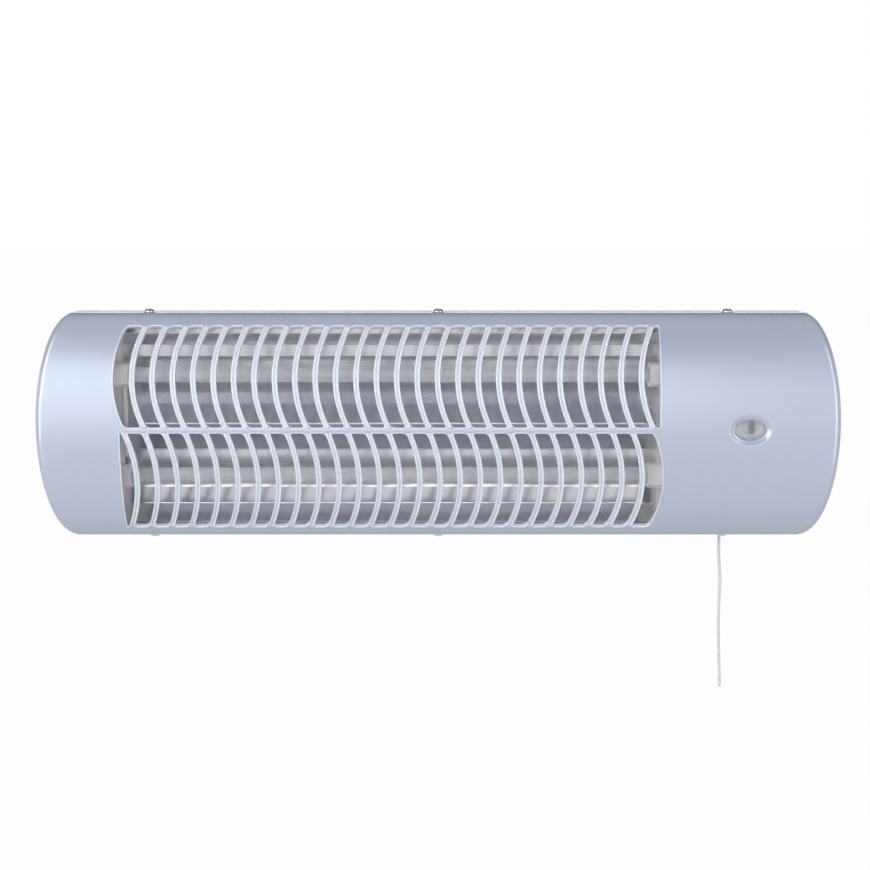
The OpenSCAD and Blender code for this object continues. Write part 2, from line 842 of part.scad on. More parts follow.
// Leads in the control end, each bent between two terminals
pin_end_x = tube_x1 + fit + pin_head_t + pin_l;
function way_x(i) = block_x + (i - (block_ways - 1) / 2) * block_w / block_ways;
function between_ways(i) = (way_x(i) + way_x(i + 1)) / 2;
function way_at(i, y) = [way_x(i), y, block_z - block_h / 2];
function leaf_at(side) = [cord_x + side * leaf_x, tray_y, leaf_top];

module upper_lead() {
    color([0.85, 0.84, 0.8]) in_heater() lead_between(
        [pin_end_x, -tube_out, tube_z], [1, 0, 0],
        leaf_at(-1), [0, 0, 1], lead_ref);
}

module lower_lead() {
    color([0.85, 0.84, 0.8]) in_heater() lead_between(
        [pin_end_x, -tube_out, -tube_z], [1, 0, 0],
        way_at(0, block_mid_y), [0, 0, -1], lead_ref);
}

module live_lead() {
    color([0.5, 0.32, 0.24]) in_heater() lead_between(
        leaf_at(1), [0, 0, 1],
        way_at(2, block_mid_y), [0, 0, -1], lead_ref);
}

module earth_lead() {
    barrel_y = sheet_in_y - stud_flange_t - tag_barrel_d / 2;
    color([0.55, 0.62, 0.25]) in_heater() lead_between(
        way_at(1, block_mid_y), [0, 0, -1],
        [stud_x + tag_neck_l + tag_barrel_l, barrel_y, stud_z], [1, 0, 0], lead_ref);
}

module lamp_leads() {
    color([0.85, 0.84, 0.8]) in_heater() for (side = [1, -1])
        lead_between(
            [lamp_x + side * lamp_lead_x, holder_back_y, 0], [0, 1, 0],
            way_at(side + 1, block_mid_y - block_d / 4), [0, 0, -1], lamp_ref);
}

// Mains terminal block on the shell's back
module terminal_block() {
    front = sheet_in_y - block_d;
    color([0.9, 0.89, 0.85]) in_heater() difference() {
        translate([block_x - block_w / 2, front, block_z - block_h / 2]) cube([block_w, block_d, block_h]);
        for (i = [0:block_ways - 1], z = [-1, 1])
            translate([way_x(i), front - over, block_z + z * block_h / 4]) rotate([-90, 0, 0])
                cylinder(d = way_screw_d + 2 * pin_fit, h = way_screw_l + over + fit, $fn = small_fn);
        for (i = [0:block_ways - 1])
            translate([way_x(i), block_mid_y, block_z + block_h / 2 - way_d])
                cylinder(d = way_d, h = way_d + over, $fn = small_fn);
        for (i = [0:block_ways - 2]) translate([between_ways(i), front - over, block_z]) rotate([-90, 0, 0]) {
            cylinder(d = block_screw_head_d + 2 * pin_fit, h = block_d / 2 + over, $fn = small_fn);
            cylinder(d = block_screw_d + 2 * pin_fit, h = block_d + 2 * over, $fn = small_fn);
        }
    }
}

// A slotted screw along +Y, the underside of its head at the origin
module slotted_screw(d, l, head_d, head_t) {
    rotate([-90, 0, 0]) difference() {
        union() {
            translate([0, 0, -head_t]) cylinder(d = head_d, h = head_t, $fn = small_fn);
            translate([0, 0, -head_t / 2]) cylinder(d = d, h = l + head_t / 2, $fn = small_fn);
        }
        translate([-head_d, -slot_w / 2, -head_t - over]) cube([2 * head_d, slot_w, head_t / 2 + over]);
    }
}

module terminal_screws() {
    color([0.78, 0.72, 0.5]) in_heater() for (i = [0:block_ways - 1], z = [-1, 1])
        translate([way_x(i), sheet_in_y - block_d + fit + way_screw_l / 2, block_z + z * block_h / 4])
            slotted_screw(way_screw_d, way_screw_l / 2, way_screw_d, way_screw_l / 2);
}

module block_screws() {
    color([0.72, 0.74, 0.77]) in_heater() for (i = [0:block_ways - 2])
        translate([between_ways(i), block_mid_y, block_z])
            slotted_screw(block_screw_d, block_d / 2 + shell_t, block_screw_head_d, block_screw_head_t);
}

// Earth stud welded to the shell's back, with a crimped tag under its nut
module at_stud() {
    translate([stud_x, sheet_in_y, stud_z]) rotate([90, 0, 0]) children();
}

module earth_stud() {
    color([0.76, 0.77, 0.8]) in_heater() at_stud() union() {
        cylinder(d = stud_d, h = stud_l, $fn = small_fn);
        cylinder(d = 2 * stud_d, h = stud_flange_t, $fn = small_fn);
    }
}

module earth_tag() {
    color([0.82, 0.78, 0.6]) in_heater() at_stud() translate([0, 0, stud_flange_t]) union() {
        difference() {
            cylinder(d = tag_d, h = tag_t, $fn = small_fn);
            translate([0, 0, -over]) cylinder(d = stud_d + 2 * pin_fit, h = tag_t + 2 * over, $fn = small_fn);
        }
        translate([stud_d / 2 + tag_t, -tag_neck_w / 2, 0])
            cube([tag_neck_l - stud_d / 2, tag_neck_w, tag_t]);
        translate([tag_neck_l, 0, tag_barrel_d / 2]) rotate([0, 90, 0])
            cylinder(d = tag_barrel_d, h = tag_barrel_l, $fn = small_fn);
    }
}

module earth_nut() {
    color([0.8, 0.74, 0.5]) in_heater() at_stud() translate([0, 0, stud_flange_t + tag_t]) difference() {
        cylinder(d = earth_nut_w, h = earth_nut_t, $fn = hex_fn);
        translate([0, 0, -over]) cylinder(d = stud_d + pin_fit, h = earth_nut_t + 2 * over, $fn = small_fn);
    }
}

// Saddle that would hold the mains lead, and its screws
module saddle_outline() {
    hump = clamp_arch_r + clamp_t;
    difference() {
        union() {
            translate([-clamp_w / 2, 0]) square([clamp_w, clamp_t]);
            translate([-hump, 0]) square([2 * hump, hump]);
        }
        circle(r = clamp_arch_r, $fn = small_fn);
    }
}

module lead_clamp() {
    color([0.9, 0.89, 0.85]) in_heater() difference() {
        translate([gland_x, sheet_in_y, clamp_z - clamp_h / 2]) mirror([0, 1, 0])
            linear_extrude(height = clamp_h) saddle_outline();
        for (side = [-1, 1])
            translate([gland_x + side * clamp_screw_x, sheet_in_y - clamp_t - over, clamp_z])
                rotate([-90, 0, 0])
                    cylinder(d = clamp_screw_d + 2 * pin_fit, h = clamp_t + 2 * over, $fn = small_fn);
    }
}

module clamp_screws() {
    color([0.72, 0.74, 0.77]) in_heater() for (side = [-1, 1])
        translate([gland_x + side * clamp_screw_x, sheet_in_y - clamp_t, clamp_z])
            slotted_screw(clamp_screw_d, clamp_t + shell_t, clamp_head_d, clamp_head_t);
}

// Rubber gland in the shell's back, for the mains lead
module lead_gland() {
    color([0.16, 0.16, 0.17]) in_heater() translate([gland_x, sheet_in_y, gland_z]) rotate([-90, 0, 0])
        difference() {
            union() {
                translate([0, 0, -gland_lip]) cylinder(d = gland_d, h = gland_lip, $fn = small_fn);
                cylinder(d = gland_neck_d, h = shell_t, $fn = small_fn);
                translate([0, 0, shell_t])
                    cylinder(d1 = gland_d, d2 = gland_neck_d, h = gland_lip, $fn = small_fn);
            }
            translate([0, 0, -gland_lip - over])
                cylinder(d = gland_hole, h = shell_t + 2 * gland_lip + 2 * over, $fn = small_fn);
        }
}

// Indicator: clear oval lens, the cup behind it and the neon lamp in the cup
lens_front_y = -crown + lens_sink;
lens_back_y = -crown + boss_back + lens_flange_t;
holder_back_y = lens_back_y + holder_d;

module indicator_lens() {
    color([0.85, 0.88, 0.93, 0.6]) in_heater() at_lamp() difference() {
        union() {
            skin(concat(
                [oval_ring(lens_rx, lens_rz, -crown + boss_back)],
                [for (s = lens_ring_shares)
                    oval_ring(s[0] * lens_rx, s[1] * lens_rz, lens_front_y + s[2] * lens_dome)]
            ));
            along_y(-crown + boss_back, lens_back_y)
                polygon(oval(lens_rx + lens_flange, lens_rz + lens_flange));
        }
        along_y(lens_front_y + lens_t, lens_back_y + over) polygon(oval(lens_rx - lens_t, lens_rz - lens_t));
    }
}

// The lamp stands on a seat in the cup, and its wires leave through the cup's back
neon_y = lens_back_y + neon_gap;
seat_top = neon_z - neon_foot;

module lamp_holder() {
    rx = lens_rx + lens_flange;
    rz = lens_rz + lens_flange;
    color([0.93, 0.93, 0.94]) in_heater() at_lamp() difference() {
        along_y(lens_back_y, holder_back_y) polygon(oval(rx, rz));
        difference() {
            along_y(lens_back_y - over, holder_back_y - holder_t) polygon(oval(rx - holder_t, rz - holder_t));
            translate([neon_side - neon_seat_w / 2, neon_y - neon_d / 2, -rz])
                cube([neon_seat_w, neon_d, rz + seat_top]);
        }
    }
}

module at_neon() {
    at_lamp() translate([neon_side, neon_y, neon_z]) children();
}

module neon_lamp() {
    bulb = neon_l - neon_d / 2;
    color([0.95, 0.6, 0.5, 0.6]) in_heater() at_neon() difference() {
        rotate_extrude($fn = small_fn)
            polygon([
                [0, -neon_foot], [neon_d / 2, -neon_foot], [neon_d / 2, bulb], [neon_d / 4, neon_l], [0, neon_l],
            ]);
        translate([0, 0, neon_t]) cylinder(d = neon_d - 2 * neon_t, h = bulb - neon_t, $fn = small_fn);
        for (side = [-1, 1])
            translate([side * electrode_gap / 2, 0, -neon_foot - over])
                cylinder(d = electrode_d + pin_fit, h = neon_foot + neon_t + 2 * over, $fn = small_fn);
    }
}

module lamp_electrodes() {
    color([0.85, 0.3, 0.25]) in_heater() at_neon() for (side = [-1, 1])
        translate([side * electrode_gap / 2, 0, -neon_foot])
            cylinder(d = electrode_d, h = neon_foot + electrode_l, $fn = small_fn);
}

// Pull switch
module at_switch(z) {
    translate([cord_x, tray_y, z]) children();
}

module switch_body() {
    inner_w = sw_w - 2 * sw_t;
    color([0.9, 0.9, 0.88]) in_heater() at_switch(sw_floor) difference() {
        translate([-sw_w / 2, -sw_half_d, 0]) cube([sw_w, 2 * sw_half_d, sw_h]);
        difference() {
            translate([-inner_w / 2, sw_t - sw_half_d, sw_t]) cube([inner_w, 2 * (sw_half_d - sw_t), sw_h]);
            for (side = [-1, 1])
                translate([side * cap_screw_x - cap_boss_w / 2, -cap_boss_w / 2, sw_h - cap_boss_h])
                    cube([cap_boss_w, cap_boss_w, cap_boss_h]);
        }
        translate([0, 0, -over]) cylinder(d = cord_hole, h = sw_t + 2 * over, $fn = small_fn);
        for (side = [-1, 1]) {
            translate([side * cap_screw_x, 0, sw_h - cap_screw_l])
                cylinder(d = cap_screw_d + 2 * pin_fit, h = cap_screw_l + over, $fn = small_fn);
            translate([side * (sw_w / 2 - sw_screw_edge), sw_half_d - sw_t - over, sw_screw_edge])
                rotate([-90, 0, 0])
                    cylinder(d = sw_screw_d + 2 * pin_fit, h = sw_t + 2 * over, $fn = small_fn);
        }
    }
}

function switch_screw_places() = [
    for (side = [-1, 1]) [cord_x + side * (sw_w / 2 - sw_screw_edge), sw_floor + sw_screw_edge]
];

// Two screws from behind the shell into the switch
module switch_screws() {
    color([0.72, 0.74, 0.77]) in_heater() for (p = switch_screw_places())
        translate([p[0], back_y, p[1]]) mirror([0, 1, 0])
            slotted_screw(sw_screw_d, shell_t + sw_t, sw_screw_head_d, sw_screw_head_t);
}

// Cap with the post that the rotor turns on
bridge_top = rotor_low + rotor_t + bridge_t;
post_end = rotor_low - fit - clip_t;

module switch_cap() {
    color([0.86, 0.86, 0.84]) in_heater() at_switch(sw_top) difference() {
        union() {
            translate([-sw_w / 2, -sw_half_d, 0]) cube([sw_w, 2 * sw_half_d, cap_t]);
            translate([0, 0, bridge_top + fit - sw_top])
                cylinder(d = post_shoulder_d, h = sw_top - bridge_top - fit + cap_t / 2, $fn = small_fn);
            translate([0, 0, post_end - sw_top])
                cylinder(d = post_d, h = sw_top - post_end + cap_t / 2, $fn = small_fn);
        }
        for (side = [-1, 1]) {
            translate([side * cap_screw_x, 0, -over])
                cylinder(d = cap_screw_d + 2 * pin_fit, h = cap_t + 2 * over, $fn = small_fn);
            translate([side * leaf_x - leaf_t / 2 - pin_fit, -leaf_w / 2 - pin_fit, -over])
                cube([leaf_t + 2 * pin_fit, leaf_w + 2 * pin_fit, cap_t + 2 * over]);
        }
    }
}

module cap_screws() {
    color([0.72, 0.74, 0.77]) in_heater() at_switch(sw_top + cap_t) for (side = [-1, 1])
        translate([side * cap_screw_x, 0, 0]) rotate([-90, 0, 0])
            slotted_screw(cap_screw_d, cap_screw_l, cap_screw_head_d, cap_screw_head_t);
}

module contact_leaves() {
    color([0.82, 0.7, 0.42]) in_heater() at_switch(leaf_low) for (side = [-1, 1])
        translate([side * leaf_x - leaf_t / 2, -leaf_w / 2, 0]) cube([leaf_t, leaf_w, leaf_top - leaf_low]);
}

// Rotor with radial notches in its underside, which the plunger's pawls would step round
module ratchet_rotor() {
    color([0.25, 0.26, 0.28]) in_heater() at_switch(rotor_low) difference() {
        cylinder(d = rotor_d, h = rotor_t, $fn = round_fn);
        translate([0, 0, -over]) cylinder(d = post_d + 2 * pin_fit, h = rotor_t + 2 * over, $fn = small_fn);
        for (k = [0:rotor_teeth - 1])
            rotate(360 * k / rotor_teeth) translate([rotor_d / 2 - tooth_l, -tooth_w / 2, -over])
                cube([tooth_l + over, tooth_w, tooth_h + over]);
    }
}

// Bridge on the rotor, its ends rounded to pass the leaves
module contact_bridge() {
    color([0.82, 0.7, 0.42]) in_heater() at_switch(rotor_low + rotor_t) difference() {
        intersection() {
            cylinder(r = bridge_half, h = bridge_t, $fn = round_fn);
            translate([-bridge_half, -bridge_w / 2, -over])
                cube([2 * bridge_half, bridge_w, bridge_t + 2 * over]);
        }
        translate([0, 0, -over]) cylinder(d = post_d + 2 * pin_fit, h = bridge_t + 2 * over, $fn = small_fn);
    }
}

// Clip that keeps the rotor on its post
module rotor_clip() {
    color([0.6, 0.62, 0.65]) in_heater() at_switch(post_end) difference() {
        cylinder(d = clip_d, h = clip_t, $fn = small_fn);
        translate([0, 0, -over]) cylinder(d = post_d + pin_fit, h = clip_t + 2 * over, $fn = small_fn);
    }
}

// Plunger with a seat for the spring, two pawls above it and the stem that the cord is tied to
module switch_plunger() {
    pawl_h = rotor_low - fit - head_low - head_t;
    color([0.93, 0.92, 0.88]) in_heater() at_switch(head_low) union() {
        cylinder(d = head_d, h = head_t, $fn = round_fn);
        for (side = [-1, 1])
            translate([side * pawl_x - pawl_w / 2, -pawl_w / 2, 0]) cube([pawl_w, pawl_w, head_t + pawl_h]);
        translate([0, 0, -stem_l]) cylinder(d = stem_d, h = stem_l + head_t / 2, $fn = small_fn);
    }
}

function spring_path() =
    let (
        low = sw_in_floor + spring_wire / 2,
        high = head_low - spring_wire / 2,
        last = spring_curls * curl_rings
    )
    [
        for (i = [0:last])
            let (w = 360 * i / curl_rings)
                [spring_r * cos(w), spring_r * sin(w), low + (high - low) * i / last]
    ];
echo(spring_least_gap = least_gap(spring_path(), curl_rings, spring_wire));

module return_spring() {
    color([0.7, 0.71, 0.73]) in_heater() at_switch(0)
        tube_along(spring_path(), spring_wire, wire_sides, spring_ref);
}

// Flanged bush that the cord runs through, snapped into the shell's underside
module cord_guide() {
    t = guide_flange_t;
    color([0.2, 0.2, 0.22]) in_heater() at_switch(-half_h) difference() {
        union() {
            cylinder(d = guide_d, h = shell_t + guide_lip_t, $fn = small_fn);
            translate([0, 0, shell_t])
                cylinder(d1 = guide_lip_d, d2 = guide_d, h = guide_lip_t, $fn = small_fn);
            translate([0, 0, -t])
                cylinder(d1 = guide_flange_d - t, d2 = guide_flange_d, h = t, $fn = small_fn);
        }
        translate([0, 0, -t - over])
            cylinder(d = cord_hole, h = shell_t + t + guide_lip_t + 2 * over, $fn = small_fn);
    }
}

module pull_cord() {
    color([0.95, 0.95, 0.94]) in_heater() at_switch(stem_end)
        tube_along(pull_route, cord_d, lead_sides, cord_ref);
}

// Wall bracket, a plate bent forwards into two arms
module arm_outline() {
    difference() {
        union() {
            translate([-pivot_out, 0]) circle(r = arm_r, $fn = round_fn);
            polygon([[0, -arm_half_h], [0, arm_half_h], [-pivot_out, arm_r], [-pivot_out, -arm_r]]);
        }
        translate([-pivot_out, 0]) circle(d = bolt_d + 2 * pin_fit, $fn = small_fn);
    }
}

module wall_bracket() {
    color([0.78, 0.79, 0.82]) difference() {
        union() {
            translate([-bracket_w / 2, -steel_t, -plate_h / 2]) cube([bracket_w, steel_t, plate_h]);
            along_x(bracket_w / 2 - steel_t, bracket_w / 2) arm_outline();
            along_x(-bracket_w / 2, steel_t - bracket_w / 2) arm_outline();
        }
        for (x = [-hole_across / 2, hole_across / 2], z = [-hole_up / 2, hole_up / 2])
            translate([x, over, z]) rotate([90, 0, 0])
                cylinder(d = hole_d, h = steel_t + 2 * over, $fn = small_fn);
    }
}

// Hinge lug, its foot on the shell's back and its tab beside the bracket's arm
module lug_outline() {
    difference() {
        union() {
            translate([-pivot_out, 0]) circle(r = lug_r, $fn = round_fn);
            polygon([
                [-stand_off, -lug_half_h], [-stand_off, lug_half_h],
                [-pivot_out, lug_r], [-pivot_out, -lug_r]
            ]);
        }
        translate([-pivot_out, 0]) circle(d = bolt_d + 2 * pin_fit, $fn = small_fn);
    }
}

module hinge_lug() {
    difference() {
        union() {
            along_x(lug_x - steel_t, lug_x) lug_outline();
            translate([lug_x - lug_foot, -stand_off, -lug_half_h]) cube([lug_foot, steel_t, 2 * lug_half_h]);
        }
        for (z = [-lug_rivet_z, lug_rivet_z])
            translate([lug_x - lug_foot + lug_rivet_in, -stand_off - over, z])
                rotate([-90, 0, 0]) cylinder(d = lug_rivet_d, h = steel_t + 2 * over, $fn = small_fn);
    }
}

module hinge_lug_right() { color([0.78, 0.79, 0.82]) hinge_lug(); }
module hinge_lug_left() { color([0.78, 0.79, 0.82]) mirror([1, 0, 0]) hinge_lug(); }

module lug_rivets() {
    color([0.72, 0.73, 0.76]) for (side = [1, -1], z = [-lug_rivet_z, lug_rivet_z])
        translate([side * (lug_x - lug_foot + lug_rivet_in), -stand_off - shell_t, z])
            rivet(lug_rivet_d, lug_rivet_head_d, lug_rivet_head_t, shell_t + steel_t);
}

// Carries what is drawn along +Z to the pivot on one side, pointing outwards
module at_pivot(side) {
    mirror([side < 0 ? 1 : 0, 0, 0]) translate([0, -pivot_out, 0]) rotate([0, 90, 0]) children();
}

// Pivot bolts, their heads inside the lugs
module pivot_bolts() {
    start = lug_x - steel_t - fit;
    color([0.74, 0.75, 0.78]) for (side = [1, -1]) at_pivot(side) union() {
        translate([0, 0, start - bolt_head_t]) cylinder(d = bolt_head_d, h = bolt_head_t, $fn = hex_fn);
        translate([0, 0, start - bolt_head_t / 2])
            cylinder(d = bolt_d, h = bracket_w / 2 + bolt_tail - start + bolt_head_t / 2, $fn = small_fn);
    }
}

module pivot_washers() {
    hole = bolt_d + 2 * pin_fit;
    color([0.8, 0.81, 0.83]) for (side = [1, -1]) at_pivot(side) translate([0, 0, bracket_w / 2])
        difference() {
            cylinder(d = washer_d, h = washer_t, $fn = small_fn);
            translate([0, 0, -over]) cylinder(d = hole, h = washer_t + 2 * over, $fn = small_fn);
        }
}

module wing_nut(side) {
    r = hub_d / 2;
    tip = wing_span / 2;
    color([0.76, 0.77, 0.8]) at_pivot(side) translate([0, 0, bracket_w / 2 + washer_t]) difference() {
        union() {
            cylinder(d = hub_d, h = hub_l, $fn = small_fn);
            for (turn = [0, 180]) rotate(turn) translate([0, wing_t / 2, 0]) rotate([90, 0, 0])
                linear_extrude(height = wing_t) polygon([
                    [0, 0], [r, 0], [tip, wing_h / 2], [tip, wing_h], [r + wing_t, wing_h], [0, hub_l]
                ]);
        }
        translate([0, 0, -over]) cylinder(d = bolt_d + pin_fit, h = wing_h + 2 * over, $fn = small_fn);
    }
}

module wing_nut_left() { wing_nut(-1); }
module wing_nut_right() { wing_nut(1); }

wall_bracket();
pivot_bolts();
pivot_washers();
wing_nut_left();
wing_nut_right();
rear_shell();
hinge_lug_left();
hinge_lug_right();
lug_rivets();
front_cover();
cover_screws();
indicator_lens();
neon_lamp();
lamp_electrodes();
lamp_holder();
reflector();
reflector_end_left();
reflector_end_right();
plate_rivets();
quartz_tube_upper();
quartz_tube_lower();
heating_coil_upper();
heating_coil_lower();
ceramic_upper_left();
ceramic_upper_right();
ceramic_lower_left();
ceramic_lower_right();
terminal_pins();
terminal_nuts();
link_wire();
link_splice();
upper_lead();
lower_lead();
live_lead();
lamp_leads();
earth_lead();
terminal_block();
terminal_screws();
block_screws();
earth_stud();
earth_tag();
earth_nut();
lead_clamp();
clamp_screws();
lead_gland();
switch_body();
switch_screws();
switch_cap();
cap_screws();
contact_leaves();
ratchet_rotor();
contact_bridge();
rotor_clip();
switch_plunger();
return_spring();
cord_guide();
pull_cord();
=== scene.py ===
# %% [markdown]
# # Twin tube wall heater
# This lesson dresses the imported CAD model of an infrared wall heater. The model gives every place and size.
# Here the casing, the grille of S-shaped bars, the coils and the cord get their fine form, and each surface
# gets a procedural material. The first step loads the model and keeps its box.

# %% Load the fixed frame
import json
import math

import bmesh
import bpy
import numpy as np
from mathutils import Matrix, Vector

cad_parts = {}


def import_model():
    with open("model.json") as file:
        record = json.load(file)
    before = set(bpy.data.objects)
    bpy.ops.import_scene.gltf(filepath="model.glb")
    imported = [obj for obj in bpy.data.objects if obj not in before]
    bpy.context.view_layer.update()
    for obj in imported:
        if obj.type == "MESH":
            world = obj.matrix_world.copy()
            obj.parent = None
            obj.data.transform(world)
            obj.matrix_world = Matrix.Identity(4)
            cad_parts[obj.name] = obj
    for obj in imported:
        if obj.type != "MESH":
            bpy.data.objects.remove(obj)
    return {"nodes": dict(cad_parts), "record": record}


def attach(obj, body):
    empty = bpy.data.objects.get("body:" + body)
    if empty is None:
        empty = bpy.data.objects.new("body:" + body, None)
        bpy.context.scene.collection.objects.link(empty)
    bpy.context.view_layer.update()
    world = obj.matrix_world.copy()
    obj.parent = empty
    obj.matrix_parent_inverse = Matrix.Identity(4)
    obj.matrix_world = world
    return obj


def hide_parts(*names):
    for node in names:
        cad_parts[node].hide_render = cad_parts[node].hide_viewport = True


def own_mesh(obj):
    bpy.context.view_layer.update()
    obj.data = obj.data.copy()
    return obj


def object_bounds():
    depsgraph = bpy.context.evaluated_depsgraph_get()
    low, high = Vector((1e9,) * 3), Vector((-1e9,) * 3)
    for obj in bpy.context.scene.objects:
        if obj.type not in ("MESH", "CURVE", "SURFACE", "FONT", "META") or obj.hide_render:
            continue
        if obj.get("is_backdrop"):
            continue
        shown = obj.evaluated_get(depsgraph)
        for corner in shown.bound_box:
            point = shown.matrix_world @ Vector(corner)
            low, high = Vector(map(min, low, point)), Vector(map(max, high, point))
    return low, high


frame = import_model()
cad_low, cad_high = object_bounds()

# %% [markdown]
# Sizes below are in millimetres in the heater's own frame: X along it, Y from its seam plane (the room is
# at -Y) and Z up from its middle. `world` carries such points to the shared frame in metres. The front is
# half an ellipse, so its points are given by an angle t, from -86 degrees at the lower edge to 86 at the
# upper one.

# %% Sizes and the heater's place
CARRY = np.array([0.0, -64.0, 20.0])
HALF_H, CROWN = 74.0, 30.0  # half the height, and how far the front stands out from the seam
STRAIGHT, BOW = 240.0, 20.0  # half the length at the edges, and what the round ends add at the middle
EDGE_R, SKIRT, WALL = 5.0, 10.0, 2.4  # rounding of the ends, depth behind the seam, thickness
EDGE = math.radians(86)
PITCH, CURVES, BAR_BOW = 13.1, 27, 6.8  # spacing, number and bow of the S-curves
OPEN_Z, MID_Z, SHIFT = 66.2, 2.0, 31.8  # half heights of the opening and middle bar, the opening's place
BAY_MID, BAY_HALF = (OPEN_Z + MID_Z) / 2, (OPEN_Z - MID_Z) / 2
CURVE_R = (BAY_HALF**2 + BAR_BOW**2) / (2 * BAR_BOW)
GRILLE_LEFT, GRILLE_RIGHT = -205.0, 142.6
TUBE_Y, TUBE_Z = -3.0, 33.5
LAMP_X = 201.0
SWITCH_X, SWITCH_Y = 192.0, 20.0


def world(points):
    """Heater-frame millimetres to metres in the shared frame: add the heater's place, divide by 1000."""
    return (np.asarray(points, float) + CARRY) / 1000


def bar_x(k):
    """Where S-curve number k crosses the ends of its bays."""
    return -SHIFT + (k - (CURVES - 1) / 2) * PITCH


def row_z(t):
    """Height on the front at angle t: half height times sin t, scaled so that t = 86 degrees is the edge."""
    return HALF_H * np.sin(t) / math.sin(EDGE)


def row_y(t, inset=0.0):
    """Depth of the front at angle t: (crown - inset) times cos t in front of the seam plane."""
    return -(CROWN - inset) * np.cos(t)


def row_t(z, inset=0.0):
    """The angle at which the front, or the ellipse inset millimetres inside it, has height z."""
    return np.arcsin(np.clip(np.asarray(z) * math.sin(EDGE) / (HALF_H - inset), -1, 1))


print("curve radius", round(CURVE_R, 1), "mm; curves from", round(bar_x(0), 1),
      "to", round(bar_x(CURVES - 1), 1))

# %% [markdown]
# ## The camera
# The heater is seen from 0.97 m, 7.7 degrees above its middle and straight on. The lens follows from the
# width that the casing takes in the photograph, and the small shift from where its middle lies.

# %% Camera
camera = bpy.data.objects.new("camera", bpy.data.cameras.new("camera"))
bpy.context.scene.collection.objects.link(camera)
camera.location = (0.0, -1.0252, 0.1506)
aim = Vector(world((0, 0, 0)))
camera.rotation_euler = (aim - camera.location).to_track_quat("-Z", "Y").to_euler()
camera.data.sensor_width = 36
camera.data.lens = 60.52
camera.data.shift_x = -0.0038
camera.data.shift_y = -0.0122
camera.data.clip_start = 0.01
bpy.context.scene.camera = camera
print("camera", tuple(round(v, 3) for v in camera.location), "lens", camera.data.lens)

# %% [markdown]
# ## Mesh tools
# Every new piece is rows of points joined by quads. Blender's own primitives and sweeps could make some of
# them, but a grid of points says exactly where each edge lies, so the pieces meet the CAD solids round
# them.

# %% Mesh tools
MERGE = 2e-6  # points that are closer than this, in metres, are one


def quads(rows, cols, wrap=False):
    """Faces between neighbouring rows of a grid, and from the last column to the first where it wraps."""
    i = np.arange(rows - 1)[:, None] * cols
    j = np.arange(cols if wrap else cols - 1)[None, :]
    k = (j + 1) % cols
    return np.stack([i + j, i + k, i + cols + k, i + cols + j], -1).reshape(-1, 4).tolist()


def skin(rings, caps=True):
    """Points and faces of closed rings stacked in order, with a fan of faces over each end."""
    rings = np.asarray(rings, float)
    count, around = rings.shape[:2]
    points = rings.reshape(-1, 3)
    faces = quads(count, around, wrap=True)
    if caps:
        points = np.vstack([points, rings[0].mean(0), rings[-1].mean(0)])
        first, last = count * around, count * around + 1
        end = first - around
        faces += [[(j + 1) % around, j, first] for j in range(around)]
        faces += [[end + j, end + (j + 1) % around, last] for j in range(around)]
    return points, faces


def joined(parts):
    """Several (points, faces) pairs as one."""
    points, faces, base = [], [], 0
    for part_points, part_faces in parts:
        points.append(part_points)
        faces += [[i + base for i in face] for face in part_faces]
        base += len(part_points)
    return np.vstack(points), faces


def piece(name, points, faces, body, material, sharp=None, carry=True):
    """A mesh object at the origin, its normals outwards, riding on a body with a material."""
    mesh = bpy.data.meshes.new(name)
    mesh.from_pydata((world(points) if carry else np.asarray(points, float)).tolist(), [], faces)
    bm = bmesh.new()
    bm.from_mesh(mesh)
    bmesh.ops.remove_doubles(bm, verts=bm.verts, dist=MERGE)
    bmesh.ops.recalc_face_normals(bm, faces=bm.faces)
    bm.to_mesh(mesh)
    bm.free()
    mesh.polygons.foreach_set("use_smooth", [True] * len(mesh.polygons))
    if sharp is not None:
        mesh.set_sharp_from_angle(angle=math.radians(sharp))
    obj = bpy.data.objects.new(name, mesh)
    bpy.context.scene.collection.objects.link(obj)
    mesh.materials.append(material)
    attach(obj, body)
    print(name, len(mesh.polygons), "faces")
    return obj


print("a strip of 3 rows of 4 points has", len(quads(3, 4)), "quads")

# %% [markdown]
# ## Materials
# One recipe makes them all: a base colour that drifts a little between two shades, roughness that drifts
# with it, and a fine bump. Photographed textures would show the same grain, but noise needs no files and
# stays sharp at any distance. It reads object coordinates in metres, so its scale is a real one.

# %% Material recipe
NOISE_LOW, NOISE_HIGH = 0.3, 0.7  # nearly all of the noise lies between these values
COARSER = 14


